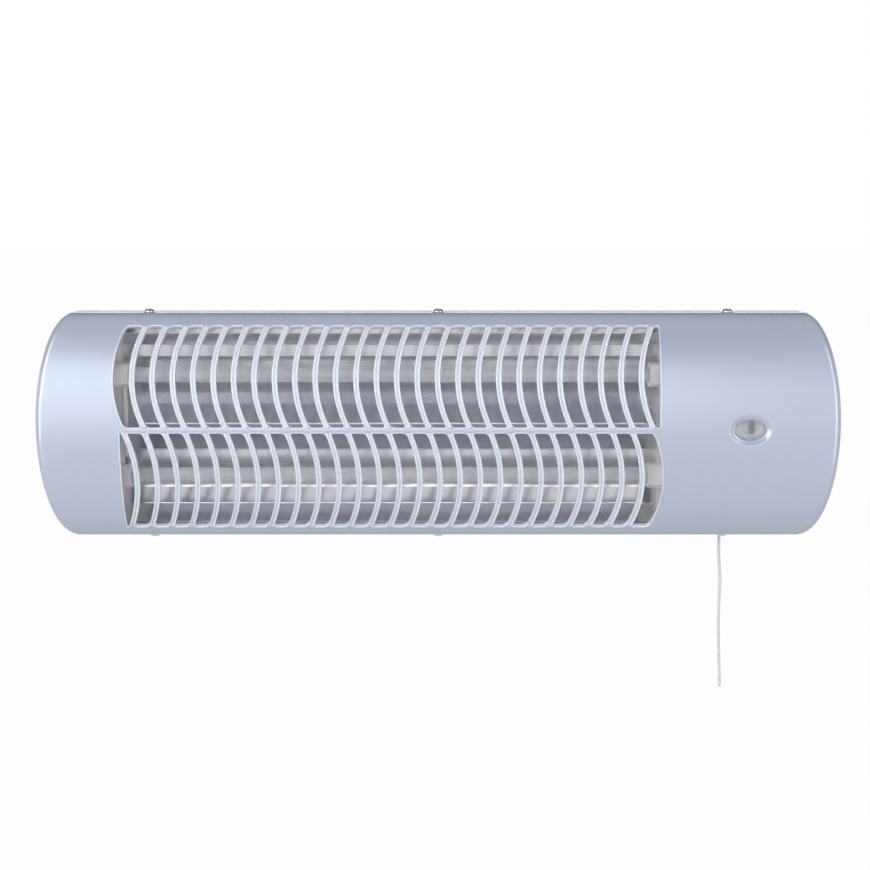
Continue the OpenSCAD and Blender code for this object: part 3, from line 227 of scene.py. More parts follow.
def mixed_noise(tree, grain, stretch, blotch):
    """Two outputs on object coordinates: blotch * broad + (1 - blotch) * fine noise, and the fine noise."""
    coords = tree.nodes.new("ShaderNodeTexCoord")
    mapping = tree.nodes.new("ShaderNodeMapping")
    mapping.inputs["Scale"].default_value = stretch
    tree.links.new(coords.outputs["Object"], mapping.inputs["Vector"])
    fine = tree.nodes.new("ShaderNodeTexNoise")
    fine.inputs["Scale"].default_value = grain
    fine.inputs["Detail"].default_value = 4
    broad = tree.nodes.new("ShaderNodeTexNoise")
    broad.inputs["Scale"].default_value = grain / COARSER
    broad.inputs["Detail"].default_value = 2
    for noise in (fine, broad):
        tree.links.new(mapping.outputs["Vector"], noise.inputs["Vector"])
    both = tree.nodes.new("ShaderNodeMath")
    both.operation = "MULTIPLY_ADD"
    both.inputs[1].default_value = blotch
    tree.links.new(broad.outputs["Fac"], both.inputs[0])
    scaled = tree.nodes.new("ShaderNodeMath")
    scaled.operation = "MULTIPLY"
    scaled.inputs[1].default_value = 1 - blotch
    tree.links.new(fine.outputs["Fac"], scaled.inputs[0])
    tree.links.new(scaled.outputs[0], both.inputs[2])
    return both.outputs[0], fine.outputs["Fac"]


def clear_by_angle(tree, shader, face_on, edge_on):
    """Alpha goes from face_on, where the wall is seen squarely, to edge_on, where it is seen along."""
    facing = tree.nodes.new("ShaderNodeLayerWeight")
    facing.inputs["Blend"].default_value = 0.3
    solid = tree.nodes.new("ShaderNodeMapRange")
    solid.inputs["To Min"].default_value = face_on
    solid.inputs["To Max"].default_value = edge_on
    tree.links.new(facing.outputs["Facing"], solid.inputs["Value"])
    tree.links.new(solid.outputs["Result"], shader.inputs["Alpha"])


def look(name, light, dark, rough=(0.4, 0.5), metal=0.0, grain=600, stretch=(1, 1, 1), bump=0.05,
         size=0.0002, blotch=0.35, see_through=None, **sockets):
    """A Principled material: colour and roughness follow the mixed noise, the bump follows the fine one."""
    mat = bpy.data.materials.new(name)
    mat.use_nodes = True
    tree = mat.node_tree
    shader = tree.nodes["Principled BSDF"]
    shader.inputs["Metallic"].default_value = metal
    for key, value in sockets.items():
        shader.inputs[key.replace("_", " ")].default_value = value
    both, fine = mixed_noise(tree, grain, stretch, blotch)
    ramp = tree.nodes.new("ShaderNodeValToRGB")
    for stop, place, shade in zip(ramp.color_ramp.elements, (NOISE_LOW, NOISE_HIGH), (dark, light)):
        stop.position = place
        stop.color = (*shade, 1)
    tree.links.new(both, ramp.inputs["Fac"])
    tree.links.new(ramp.outputs["Color"], shader.inputs["Base Color"])
    spread = tree.nodes.new("ShaderNodeMapRange")
    spread.inputs["From Min"].default_value = NOISE_LOW
    spread.inputs["From Max"].default_value = NOISE_HIGH
    spread.inputs["To Min"].default_value = rough[0]
    spread.inputs["To Max"].default_value = rough[1]
    tree.links.new(both, spread.inputs["Value"])
    tree.links.new(spread.outputs["Result"], shader.inputs["Roughness"])
    lift = tree.nodes.new("ShaderNodeBump")
    lift.inputs["Strength"].default_value = bump
    lift.inputs["Distance"].default_value = size
    tree.links.new(fine, lift.inputs["Height"])
    tree.links.new(lift.outputs["Normal"], shader.inputs["Normal"])
    if see_through:
        clear_by_angle(tree, shader, *see_through)
    return mat


# %% [markdown]
# The casing is silver: fine metal flake under a satin surface, cool and slightly blue. The rolled edges of
# the bars take a lighter shade, because they catch more light in the photograph than one shade gives them
# here. Quartz and the lamp's lens are clear: their alpha rises towards the edge, where one looks through
# more of the wall, and this shows the background cleanly without long refracted light paths. The holders
# are unglazed white ceramic, and the reflector is bright aluminium whose fine rolling marks run up and
# down.

# %% Paints and metals
silver = look("silver_cover", (0.55, 0.59, 0.69), (0.505, 0.545, 0.645), (0.30, 0.38), metal=0.40, grain=2600,
              bump=0.04, size=0.00005, blotch=0.15)
# painted highlight: the bars' rolled edges get a lighter copy of the silver, for the light that they catch
silver_painted_highlight = look("silver_painted_highlight", (0.86, 0.88, 0.93), (0.80, 0.83, 0.89), (0.22, 0.30), metal=0.2, grain=2600,
                   bump=0.03, size=0.00005, blotch=0.15)
shell_paint = look("shell_paint", (0.62, 0.64, 0.70), (0.56, 0.58, 0.64), (0.40, 0.50), metal=0.4, grain=1500,
                   bump=0.06, size=0.00006)
bracket_paint = look("bracket_paint", (0.60, 0.61, 0.65), (0.54, 0.55, 0.59), (0.45, 0.55), metal=0.3,
                     grain=1200, bump=0.08, size=0.00008)
plated = look("plated_steel", (0.70, 0.71, 0.73), (0.60, 0.61, 0.64), (0.10, 0.20), metal=1.0, grain=1800,
              bump=0.04, size=0.00004)
spring_steel = look("spring_steel", (0.66, 0.67, 0.68), (0.55, 0.56, 0.58), (0.20, 0.30), metal=1.0,
                    grain=2400)
# painted light: the end plates are near white, much lighter than their steel, to lighten the shaded ends of
# the chamber
plate_steel = look("plate_steel", (0.96, 0.94, 0.90), (0.87, 0.85, 0.81), (0.35, 0.50), metal=0.1, grain=700,
                   stretch=(1, 1, 0.2), bump=0.05, size=0.00006)
aluminium = look("polished_aluminium", (0.80, 0.80, 0.83), (0.74, 0.74, 0.77), (0.16, 0.24), metal=1.0,
                 grain=900, stretch=(1.6, 1.6, 0.06), bump=0.012, size=0.00002)
wire_metal = look("resistance_wire", (0.46, 0.43, 0.42), (0.30, 0.28, 0.28), (0.35, 0.55), metal=0.6,
                  grain=2000)
terminal = look("terminal_metal", (0.72, 0.66, 0.48), (0.58, 0.52, 0.36), (0.22, 0.34), metal=1.0, grain=1600)
electrode = look("neon_electrode", (0.42, 0.02, 0.05), (0.30, 0.015, 0.035), (0.3, 0.5), grain=3000)
print("the silver has", len(silver.node_tree.nodes), "nodes")

# %% Clear and white materials
quartz = look("quartz", (0.97, 0.96, 0.97), (0.80, 0.79, 0.82), (0.08, 0.20), grain=420,
              stretch=(1, 0.3, 0.3), bump=0.02, size=0.00004, see_through=(0.50, 0.97), IOR=1.46)
clear = look("clear_plastic", (0.93, 0.95, 1.0), (0.90, 0.92, 0.97), (0.02, 0.06), grain=500, bump=0.0,
             size=0.00003, see_through=(0.10, 0.80), IOR=1.49)
neon_glass = look("neon_glass", (0.95, 0.80, 0.80), (0.90, 0.70, 0.72), (0.0, 0.04), grain=900, bump=0.01,
                  size=0.00002, see_through=(0.03, 0.40), IOR=1.5)
steatite = look("steatite", (0.98, 0.97, 0.94), (0.93, 0.92, 0.89), (0.45, 0.60), grain=1800, bump=0.12,
                size=0.0001)
white = look("white_plastic", (0.93, 0.94, 0.96), (0.88, 0.89, 0.92), (0.35, 0.5), grain=900, bump=0.05,
             size=0.00006)
# partly painted light: the cup is white plastic, and this copy is whiter than the other white plastic to
# lighten the cup in its shade behind the lens
cup_white = look("cup_white", (0.98, 0.99, 1.0), (0.95, 0.97, 1.0), (0.25, 0.35), grain=900, bump=0.02,
                 size=0.00004)
print("clear:", quartz.name, clear.name, neon_glass.name)

# %% Wires, rubber and cord
sleeve = look("sleeving", (0.84, 0.84, 0.83), (0.70, 0.70, 0.70), (0.65, 0.85), grain=2600,
              stretch=(1, 1, 0.5), bump=0.35, size=0.00015)
brown = look("brown_insulation", (0.17, 0.075, 0.035), (0.12, 0.05, 0.02), (0.35, 0.5), grain=1400)
earth = look("earth_insulation", (0.30, 0.42, 0.05), (0.08, 0.26, 0.05), (0.35, 0.5), grain=260,
             stretch=(1, 1, 0.2), blotch=0.7)
grey_plastic = look("dark_plastic", (0.045, 0.047, 0.052), (0.028, 0.03, 0.033), (0.4, 0.55), grain=1100,
                    bump=0.08, size=0.00006)
rubber = look("black_rubber", (0.02, 0.02, 0.022), (0.011, 0.011, 0.012), (0.6, 0.8), grain=900, bump=0.12,
              size=0.0001)
fibre = look("cord_fibre", (0.86, 0.86, 0.85), (0.68, 0.68, 0.68), (0.7, 0.9), grain=3200,
             stretch=(1, 1, 0.35), bump=0.4, size=0.0002)
print("cord:", fibre.name)

# %% Materials on the CAD pieces
SLOTS = {
    "silver_cover": silver, "shell_paint": shell_paint, "bracket_paint": bracket_paint,
    "plated_steel": plated, "spring_steel": spring_steel, "plate_steel": plate_steel,
    "polished_aluminium": aluminium, "quartz": quartz, "resistance_wire": wire_metal,
    "steatite": steatite, "terminal_metal": terminal, "sleeving": sleeve, "brown_insulation": brown,
    "earth_insulation": earth, "clear_plastic": clear, "neon_glass": neon_glass,
    "neon_electrode": electrode, "white_plastic": white, "dark_plastic": grey_plastic,
    "black_rubber": rubber, "cord_fibre": fibre,
}
for part in frame["record"]["subparts"]:
    node = frame["nodes"][part["node"]]
    node.data.materials.clear()
    node.data.materials.append(SLOTS[part["material_slot"]])
print(len(SLOTS), "slots have a material")

# %% [markdown]
# ## The pull cord
# A thin white braided cord leaves the switch's plunger, runs out through its guide and hangs freely to its
# plain cut end. It is 130 mm long and 2 mm thick, on the same route as the CAD solid. Modelled strands
# would take a great many faces at this size, so two crossing sets of them only shape the tube's surface:
# the radius swells where either set lies on top.

# %% Route of the cord
ROUTE = np.array([
    [0, 0, 0], [0, 0, -4], [0, 0, -9], [0, 0, -14], [0, 0, -18], [0, 0, -23], [0, 0, -28],
    [0.1, 0, -34], [0.4, -0.1, -40], [0.9, -0.1, -46], [1.4, 0, -52], [1.5, 0, -58],
    [1.3, 0.1, -64], [1.2, 0.2, -70], [1.2, 0.2, -76], [1.2, 0.2, -82], [1.3, 0.1, -88],
    [1.5, 0.1, -94], [1.7, 0, -100], [2, 0, -106], [2.3, 0, -112], [2.6, 0.1, -118],
    [2.9, 0.1, -124], [3.2, 0.1, -130],
])
CORD_TOP, CORD_R, STEP = -56.2, 0.001, 0.0006  # millimetres, then metres for the radius and the step
cord_points = world(ROUTE + np.array([SWITCH_X, SWITCH_Y, CORD_TOP]))


def refined(points, step):
    """More points along a route, on a smooth cubic through the given ones."""
    out = []
    p = np.vstack([2 * points[0] - points[1], points, 2 * points[-1] - points[-2]])
    for i in range(1, len(p) - 2):
        n = max(2, int(np.linalg.norm(p[i + 1] - p[i]) / step))
        a, b, c, d = p[i - 1:i + 3]
        s = np.linspace(0, 1, n, endpoint=False)[:, None]
        out.append(0.5 * (2 * b + (c - a) * s + (2 * a - 5 * b + 4 * c - d) * s**2
                          + (3 * b - a - 3 * c + d) * s**3))
    return np.vstack([*out, points[-1]])


fine_route = refined(cord_points, STEP)
print("the cord has", len(fine_route), "rings")


# %% Tubes along a path
def square_directions(path):
    """Two directions square to a path at each point, carried along it so that they never twist."""
    tangent = np.gradient(path, axis=0)
    tangent /= np.linalg.norm(tangent, axis=1)[:, None]
    side = np.cross(tangent[0], [0.31, 0.17, 0.93] if abs(tangent[0][2]) < 0.9 else [0.93, 0.17, 0.31])
    sides = []
    for t in tangent:
        side = side - t * (side @ t)
        side = side / np.linalg.norm(side)
        sides.append(side)
    return np.array(sides), np.cross(tangent, sides)


def tube(path, radius, sides=12):
    """A round tube: each ring is its centre + radius * (cos a * one direction + sin a * the other).

    The radius is one number, one for each ring, or one for each ring and side.
    """
    path = np.asarray(path, float)
    one, other = square_directions(path)
    a = np.linspace(0, 2 * math.pi, sides, endpoint=False)[:, None]
    r = np.broadcast_to(radius if np.ndim(radius) > 1 else np.reshape(radius, (-1, 1)), (len(path), sides))
    return skin(path[:, None] + r[..., None] * (np.cos(a) * one[:, None] + np.sin(a) * other[:, None]))


print("a 12-sided tube has", len(tube(fine_route, CORD_R)[1]), "faces on the cord's route")


# %% Pull cord
def braided(points, radius, sides=16, lay=0.0045, depth=0.07):
    """Radius for each ring and side, swelling on two crossing sets of four strands and round at the end."""
    run = np.concatenate([[0], np.cumsum(np.linalg.norm(np.diff(points, axis=0), axis=1))])
    a = np.linspace(0, 2 * math.pi, sides, endpoint=False)
    turn = 2 * math.pi * run / lay
    left = np.cos(4 * (a[None] - turn[:, None] / 4))
    right = np.cos(4 * (a[None] + turn[:, None] / 4))
    r = radius * (1 - depth + depth * np.maximum(left, right))
    end = np.clip((run[-1] - run) / radius, 0, 1)
    return r * np.sqrt(1 - (1 - end[:, None]) ** 2 * 0.75)


points, faces = tube(fine_route, braided(fine_route, CORD_R), 16)
cord = piece("pull_cord_braid", points, faces, "pull", fibre, carry=False)
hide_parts("pull_cord")

# %% [markdown]
# ## The front cover
# The real cover is one moulding. Cutting its openings out with Booleans would leave long thin faces that
# shade badly, so it is one grid instead. Its rows follow the half ellipse of the front from the lower edge
# to the upper one, and its columns bend with the opening's ends. The opening is left out of the grid, and
# so is a rectangle for the indicator's dish. Strips run back from its four edges and close the ends and
# sides.

# %% Rows and columns of the front
DISH_X, DISH_Z = (183.0, 219.0), 20.0
ROW_STEPS = [5, 26, 9, 3, 9, 26, 5]  # rim, bay, dish, middle bar, dish, bay, rim
COLUMN_STEPS = [16, 40, 8, 20, 8]  # left end, opening, up to the dish, dish, right end
CORNER = 8


def breaks(marks, counts):
    """Values from mark to mark, each stretch cut in its own number of equal steps."""
    out = [marks[0]]
    for a, b, n in zip(marks, marks[1:], counts):
        out += list(np.linspace(a, b, n + 1)[1:])
    return np.array(out)


def edge_left(z):
    """X of the opening's left edge: the first S-curve above the middle bar, straight below it."""
    z = np.asarray(z, float)
    bow = np.sqrt(CURVE_R**2 - np.clip(z - BAY_MID, -BAY_HALF, BAY_HALF) ** 2) - CURVE_R
    up = bar_x(0) - BAR_BOW - bow
    f = np.clip((z + MID_Z) / (2 * MID_Z), 0, 1)
    return GRILLE_LEFT * (1 - f) + up * f


def edge_right(z):
    """X of the opening's right edge: straight above the middle bar, the last S-curve below it."""
    z = np.asarray(z, float)
    bow = np.sqrt(CURVE_R**2 - np.clip(z + BAY_MID, -BAY_HALF, BAY_HALF) ** 2) - CURVE_R
    low = bar_x(CURVES - 1) + BAR_BOW + bow
    f = np.clip((z + MID_Z) / (2 * MID_Z), 0, 1)
    return low * (1 - f) + GRILLE_RIGHT * f


def cover_row(t):
    """One level section: the rounded left corner, columns across the front, the rounded right corner."""
    z, y = row_z(t), row_y(t)
    end = STRAIGHT + BOW * math.cos(t)
    r = min(EDGE_R, -0.8 * y)  # the corner gets tighter where the front is shallow
    a = np.linspace(0, math.pi / 2, CORNER + 1)
    left = np.stack([-end + r - r * np.cos(a), y + r - r * np.sin(a)], -1)
    marks = [-end + r, float(edge_left(z)), float(edge_right(z)), *DISH_X, end - r]
    xs = breaks(marks, COLUMN_STEPS)[1:-1]
    flat = np.stack([xs, np.full(len(xs), y)], -1)
    right = np.stack([end - r + r * np.cos(a[::-1]), y + r - r * np.sin(a[::-1])], -1)
    xy = np.vstack([left, flat, right])
    return np.stack([xy[:, 0], xy[:, 1], np.full(len(xy), z)], -1)


row_angles = row_t(breaks([-HALF_H, -OPEN_Z, -DISH_Z, -MID_Z, MID_Z, DISH_Z, OPEN_Z, HALF_H], ROW_STEPS))
row_angles[0], row_angles[-1] = -EDGE, EDGE
grid = np.array([cover_row(t) for t in row_angles])
rows, cols = grid.shape[:2]
print("the front has", rows, "rows of", cols, "points")

# %% Front and skirt
row_marks = np.cumsum([0] + ROW_STEPS)
col_marks = CORNER + np.cumsum([0] + COLUMN_STEPS)
BACKS = np.linspace(0, 1, 5)


def skirt(edge):
    """A strip from an edge of the front straight back to the skirt's depth."""
    strip = np.repeat(edge[:, None], len(BACKS), axis=1)
    strip[..., 1] += (SKIRT - strip[..., 1]) * BACKS
    return strip.reshape(-1, 3), quads(len(edge), len(BACKS))


front = []
for face in quads(rows, cols):
    j, i = divmod(face[0], cols)
    in_grille = row_marks[1] <= j < row_marks[6] and col_marks[1] <= i < col_marks[2]
    in_dish = row_marks[2] <= j < row_marks[5] and col_marks[3] <= i < col_marks[4]
    if not in_grille and not in_dish:
        front.append(face)
cover_parts = [(grid.reshape(-1, 3), front)]
cover_parts += [skirt(edge) for edge in (grid[:, 0], grid[:, -1], grid[0], grid[-1])]
print(len(front), "faces in front")

# %% [markdown]
# The dish's rings start on the rectangle's own edge points, so that nothing gaps, and turn from it into an
# oval. Each ring is an oval with its own size and depth: over the rounded rim, down the slope, round the
# seat and back along the lens's hole. Solidify then gives the whole shell its wall, and Bevel rounds its
# rims.

# %% Indicator dish and finished cover
DISH = [(14.6, 11.3, 0.0, 0.0), (13.9, 10.6, 0.02, 0.0), (13.4, 10.1, 0.10, 0.1), (12.95, 9.6, 0.30, 0.3),
        (12.5, 9.1, 0.62, 0.6), (12.0, 8.5, 1.02, 0.8), (11.5, 7.9, 1.36, 1.0), (11.0, 7.35, 1.56, 1.0),
        (10.62, 6.95, 1.66, 1.0), (10.4, 6.72, 1.84, 1.0), (10.3, 6.6, 2.2, 1.0), (10.3, 6.6, 6.0, 1.0)]
CORNER_PULL = 1.1  # turns the rectangle's corners a little towards the oval's top and bottom
r0, r1, c0, c1 = row_marks[2], row_marks[5], col_marks[3], col_marks[4]
loop = np.vstack([grid[r0, c0:c1], grid[r0:r1, c1], grid[r1, c1:c0:-1], grid[r1:r0:-1, c0]])
half_x = (DISH_X[1] - DISH_X[0]) / 2
angle = np.arctan2(loop[:, 2] / DISH_Z * CORNER_PULL, (loop[:, 0] - LAMP_X) / half_x)


def oval_ring(rx, rz, depth, flat):
    """An oval on the front at the loop's angles: it starts on the curved front and ends in a flat plane."""
    x, z = rx * np.cos(angle), rz * np.sin(angle)
    curved = row_y(row_t(z))
    return np.stack([LAMP_X + x, curved * (1 - flat) - CROWN * flat + depth, z], -1)


first = oval_ring(*DISH[0])
between = [loop * (1 - f) + first * f for f in (0.35, 0.7)]
for ring in between:
    ring[:, 1] = row_y(row_t(ring[:, 2]))
rings = np.array([loop] + between + [oval_ring(*size) for size in DISH])
cover_parts.append((rings.reshape(-1, 3), quads(len(rings), len(loop), wrap=True)))

points, faces = joined(cover_parts)
cover = piece("front_cover_skin", points, faces, "heater", silver)
# An open shell can come out inside out, so the faces on the crown are asked which way they look.
if np.mean([face.normal.y for face in cover.data.polygons if face.center.y < -0.085]) > 0:
    cover.data.flip_normals()
wall = cover.modifiers.new("wall", "SOLIDIFY")
wall.thickness = WALL / 1000
wall.offset = -1
rim = cover.modifiers.new("rim", "BEVEL")
rim.width = 0.0007
rim.segments = 3
rim.limit_method = "ANGLE"
rim.angle_limit = math.radians(50)
rim.harden_normals = True
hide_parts("front_cover")

# %% [markdown]
# ## The grille
# On the real moulding every window between two bars has a rolled edge, so a bar is the edges of two windows
# side by side with a shallow groove between them, and where bars meet the rim their edges curl apart.
# Single swept bars would miss that. So each window gets one closed frame: its line runs round the window
# with rounded corners, and a section with a crest beside the opening is carried along it.

# %% Lines round the windows
HALF_EDGE, CORNER_R, LIFT = 0.9, 3.2, 0.45  # half a rolled edge, the windows' corners, height over the cover
LEFT_MOVE, BOW_MOVE = 0.5, 0.7  # what upper bars move everywhere, and more at the middle of the bow
CORNER_SHARE = 0.42  # of a window's width, so that the corners of a narrow one never meet
SIDE_POINTS, END_POINTS, TURN_POINTS = 30, 4, 8
BAY_Z = np.linspace(MID_Z - HALF_EDGE, OPEN_Z + HALF_EDGE, 90)


def upper_curve(k, off):
    """A line beside S-curve k in the upper bay, off millimetres to its left: a circle of larger radius."""
    x = bar_x(k) - BAR_BOW + CURVE_R - np.sqrt((CURVE_R + off) ** 2 - (BAY_Z - BAY_MID) ** 2)
    return np.stack([x, BAY_Z], -1)


def lower_curve(k, off):
    """The same in the lower bay, where the curves bow to the right and off goes to the right."""
    return upper_curve(k, off) * [-1, -1] + [2 * bar_x(k), 0]


def nudged(line):
    """An upper bar's edge moved left, most at the bow's middle, which is where the photograph has it."""
    bow = 1 - ((line[:, 1] - BAY_MID) / BAY_HALF) ** 2
    return line - np.stack([LEFT_MOVE + BOW_MOVE * np.clip(bow, 0, 1), np.zeros(len(line))], -1)


def upright(x, sign):
    """A straight side at x, in the upper bay for sign 1 and in the lower for -1."""
    return np.stack([np.full(len(BAY_Z), x), BAY_Z * sign], -1)


def window_loop(left, right):
    """A closed line up the left side, across, down the right side and back, its corners quadratic curves."""
    left, right = (side if side[0, 1] < side[-1, 1] else side[::-1] for side in (left, right))
    corners = [left[0], left[-1], right[-1], right[0]]
    widths = [abs(corners[1][0] - corners[2][0]), abs(corners[3][0] - corners[0][0])]
    cuts = [min(CORNER_R, CORNER_SHARE * w) for w in widths]
    stretches = []
    for side, first, last, turn in ((left, 1, 0, 0), (right[::-1], 0, 1, 1)):
        run = np.concatenate([[0], np.cumsum(np.hypot(*np.diff(side, axis=0).T))])
        s = np.linspace(cuts[first], run[-1] - cuts[last], SIDE_POINTS)
        stretches.append(np.stack([np.interp(s, run, side[:, i]) for i in (0, 1)], -1))
        here, there = corners[1 + 2 * turn], corners[(2 + 2 * turn) % 4]
        way = (there - here) / np.linalg.norm(there - here)
        stretches.append(np.linspace(here + way * cuts[last], there - way * cuts[last], END_POINTS))
    line = []
    w = np.linspace(0, 1, TURN_POINTS)[1:-1, None]
    for i, points in enumerate(stretches):
        start, stop, corner = points[-1], stretches[(i + 1) % 4][0], corners[(i + 1) % 4]
        line += [points, (1 - w) ** 2 * start + 2 * w * (1 - w) * corner + w**2 * stop]
    return np.vstack(line)


inner = range(1, CURVES)
lefts = [upper_curve(0, HALF_EDGE)] + [nudged(upper_curve(k, -HALF_EDGE)) for k in inner]
rights = [nudged(upper_curve(k, HALF_EDGE)) for k in inner] + [upright(GRILLE_RIGHT + HALF_EDGE, 1)]
upper_loops = [window_loop(left, right) for left, right in zip(lefts, rights)]
lefts = [upright(GRILLE_LEFT - HALF_EDGE, -1)] + [lower_curve(k - 1, HALF_EDGE) for k in inner]
rights = [lower_curve(k - 1, -HALF_EDGE) for k in inner] + [lower_curve(CURVES - 1, HALF_EDGE)]
lower_loops = [window_loop(left, right) for left, right in zip(lefts, rights)]
print(len(upper_loops), "and", len(lower_loops), "windows,", len(upper_loops[0]), "points round each")

# %% [markdown]
# The section below is given as distance away from the window and height over the front. Its first three
# points are the window's wall, then comes the crest, then the groove in the middle of a bar. Beyond it the
# section rises again, to just under the crest of the next window's frame. Where that side lies on the rim,
# it sinks under the cover's face, and so do the ends of the middle bar, so that no seam shows on what is
# one moulding.

# %% Frames round the windows
SECTION = np.array([(-0.78, -3.4), (-0.86, -2.2), (-0.9, -0.9), (-0.86, -0.45), (-0.72, -0.13), (-0.5, 0.0),
                    (-0.28, -0.06), (-0.05, -0.4), (0.2, -1.1), (0.55, -1.75), (0.95, -1.85), (1.35, -1.3),
                    (1.75, -0.6), (2.15, -0.25), (2.55, -0.18), (2.55, -2.8), (0.9, -3.4)])
FAR_SIDE, ON_RIM, RIM_SINK = 1.0, 0.3, 0.7  # beyond the groove, past the opening's edge, how far it sinks


def frame_rings(line, section, closed=True):
    """Rings along a line: each point is the line's + distance * away from the window + height * outwards."""
    t = row_t(line[:, 1], -LIFT)
    path = np.stack([line[:, 0], row_y(t, -LIFT), line[:, 1]], -1)
    along = np.roll(path, -1, 0) - np.roll(path, 1, 0) if closed else np.gradient(path, axis=0)
    out = np.stack([np.zeros(len(t)), -np.cos(t) / CROWN, np.sin(t) / HALF_H], -1)
    out /= np.linalg.norm(out, axis=1)[:, None]
    away = np.cross(out, along)
    away /= np.linalg.norm(away, axis=1)[:, None]
    rings = path[:, None] + section[None, :, :1] * away[:, None] + section[None, :, 1:] * out[:, None]
    x, z = rings[..., 0], rings[..., 2]
    on_rim = (np.abs(z) > OPEN_Z + ON_RIM) | (x < edge_left(z) - ON_RIM) | (x > edge_right(z) + ON_RIM)
    sunk = on_rim & (section[:, 0] > FAR_SIDE)
    rings = rings - RIM_SINK * sunk[..., None] * out[:, None]
    return np.vstack([rings, rings[:1]]) if closed else rings


for name, loops in (("grille_upper", upper_loops), ("grille_lower", lower_loops)):
    points, faces = joined([skin(frame_rings(line, SECTION), caps=False) for line in loops])
    grille = piece(name, points, faces, "heater", silver_painted_highlight)
    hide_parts("front_cover")

# %% Middle bar
MID_FACE = np.array([(-1.8, -0.6), (-1.4, -0.24), (-1.0, -0.14), (-0.4, -0.1), (0.4, -0.1), (1.0, -0.14),
                     (1.4, -0.24), (1.8, -0.6), (1.8, -4.6), (0.8, -5.0), (-0.8, -5.0), (-1.8, -4.6)])
MID_OVERLAP, MID_SINK, MID_SLOPE = 2.4, 0.6, 5  # past the opening, how far the ends sink, over what run
line_x = np.linspace(GRILLE_LEFT - MID_OVERLAP, GRILLE_RIGHT + MID_OVERLAP, 180)
rings = frame_rings(np.stack([line_x, np.zeros(len(line_x))], -1), MID_FACE, closed=False)
from_end = np.minimum(line_x - line_x[0], line_x[-1] - line_x)
rings[:, :, 1] += MID_SINK * np.clip(1 - from_end / MID_SLOPE, 0, 1)[:, None]
points, faces = skin(rings)
middle = piece("grille_middle", points, faces, "heater", silver)
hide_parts("front_cover")

# %% [markdown]
# ## Screws
# Six pan-head screws hold the cover, three down through the top and three up through the underside. A
# Boolean cross would leave hard edges on the soft dome, so the recess is pressed into it instead: a point
# sinks where it is close to either arm of the cross.

# %% Cover screws
PAN = [(1.5, -6.0), (1.5, -0.05), (3.5, 0.0), (3.65, 0.15), (3.65, 0.5), (3.55, 0.95), (3.3, 1.45),
       (2.9, 1.9)]
PAN += [(r, 2.5 - 0.07 * r * r) for r in np.linspace(2.4, 0.1, 14)]
RECESS_D = 1.1
ARM_HALF, ARM_SLOPE = 0.75, 0.35  # half an arm's width, and the slope of its walls
ARM_END, END_SLOPE = 2.3, 1.2
SCREW_XS, SCREW_Y = (-190.5, 0, 190.5), 5


def lathe(profile, sides):
    """A profile of (radius, height) pairs spun round Z."""
    a = np.linspace(0, 2 * math.pi, sides, endpoint=False)
    return skin([np.stack([r * np.cos(a), r * np.sin(a), np.full(sides, h)], -1) for r, h in profile])


def cross(x, y, z):
    """Depth of a cross recess at a point of the head, deepest in the middle and closed at the arms' ends."""
    u, v = (x + y) / math.sqrt(2), (x - y) / math.sqrt(2)
    arm = np.clip((ARM_HALF - np.minimum(abs(u), abs(v))) / ARM_SLOPE, 0, 1)
    reach = np.clip((ARM_END - np.hypot(x, y)) / END_SLOPE, 0, 1)
    return np.where(z > 1.0, RECESS_D * arm * reach, 0)


head, head_faces = lathe(PAN, 56)
head[:, 2] -= cross(*head.T)
screws = [(head * [1, side, side] + [x, SCREW_Y, side * HALF_H], head_faces)
          for x in SCREW_XS for side in (1, -1)]
points, faces = joined(screws)
cover_screws = piece("pan_head_screws", points, faces, "heater", plated, sharp=50)
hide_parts("cover_screws")

# %% [markdown]
# ## Coils and link wire
# Each element is an open coil of 0.8 mm wire with 40 loops in its quartz tube. A Screw modifier could wind
# it, but a helix worked out point by point ends in straight tails on the terminal pins. The lower left
# holder carries the end of the white link wire, whose three bare strands are twisted together.

# %% Coils
COIL_X, COIL_R, WIRE_R = (-213.3, 148.8), 2.6, 0.4
LOOPS, PER_LOOP, TAIL, TAIL_GAP = 40, 20, 5.0, 1.5


def straight(x0, x1):
    """Four points of a tail, which runs along X at the coil's radius behind its axis."""
    return np.stack([np.linspace(x0, x1, 4), np.full(4, COIL_R), np.zeros(4)], -1)


def helix():
    """Points along X with Y = radius * cos w and Z = radius * sin w, and a straight tail at each end."""
    x0, x1 = COIL_X
    a, b = x0 + TAIL, x1 - TAIL
    s = np.linspace(0, 1, LOOPS * PER_LOOP + 1)
    w = 2 * math.pi * LOOPS * s
    curl = np.stack([a + (b - a) * s, COIL_R * np.cos(w), COIL_R * np.sin(w)], -1)
    return np.vstack([straight(x0, a - TAIL_GAP), curl, straight(b + TAIL_GAP, x1)])


for name, z in (("upper", TUBE_Z), ("lower", -TUBE_Z)):
    points, faces = tube(helix() + [0, TUBE_Y, z], WIRE_R, 8)
    coil = piece(f"coil_{name}", points, faces, "heater", wire_metal)
    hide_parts(f"heating_coil_{name}")

# %% Link wire
LINK_X = -212 + 5.3
CERAMIC_HALF, SLEEVE_SEAT, GAP = 7.5, 1.2, 0.3
SLEEVE_R, STRAND_R, SPLICE = 1.6, 0.35, 5.7
STRANDS, STRAND_TURNS = 3, 2
low, top = -TUBE_Z + CERAMIC_HALF - SLEEVE_SEAT + GAP, TUBE_Z - CERAMIC_HALF + SLEEVE_SEAT
zs = np.linspace(low + SPLICE, top - GAP, 40)
middle_line = np.stack([np.full(len(zs), LINK_X), np.full(len(zs), TUBE_Y), zs], -1)
pinched = SLEEVE_R * (1 - 0.25 * np.exp(-((zs - zs[0]) / 0.5) ** 2))
points, faces = tube(middle_line, pinched, 20)
link = piece("link_sleeve", points, faces, "heater", sleeve)
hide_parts("link_wire")

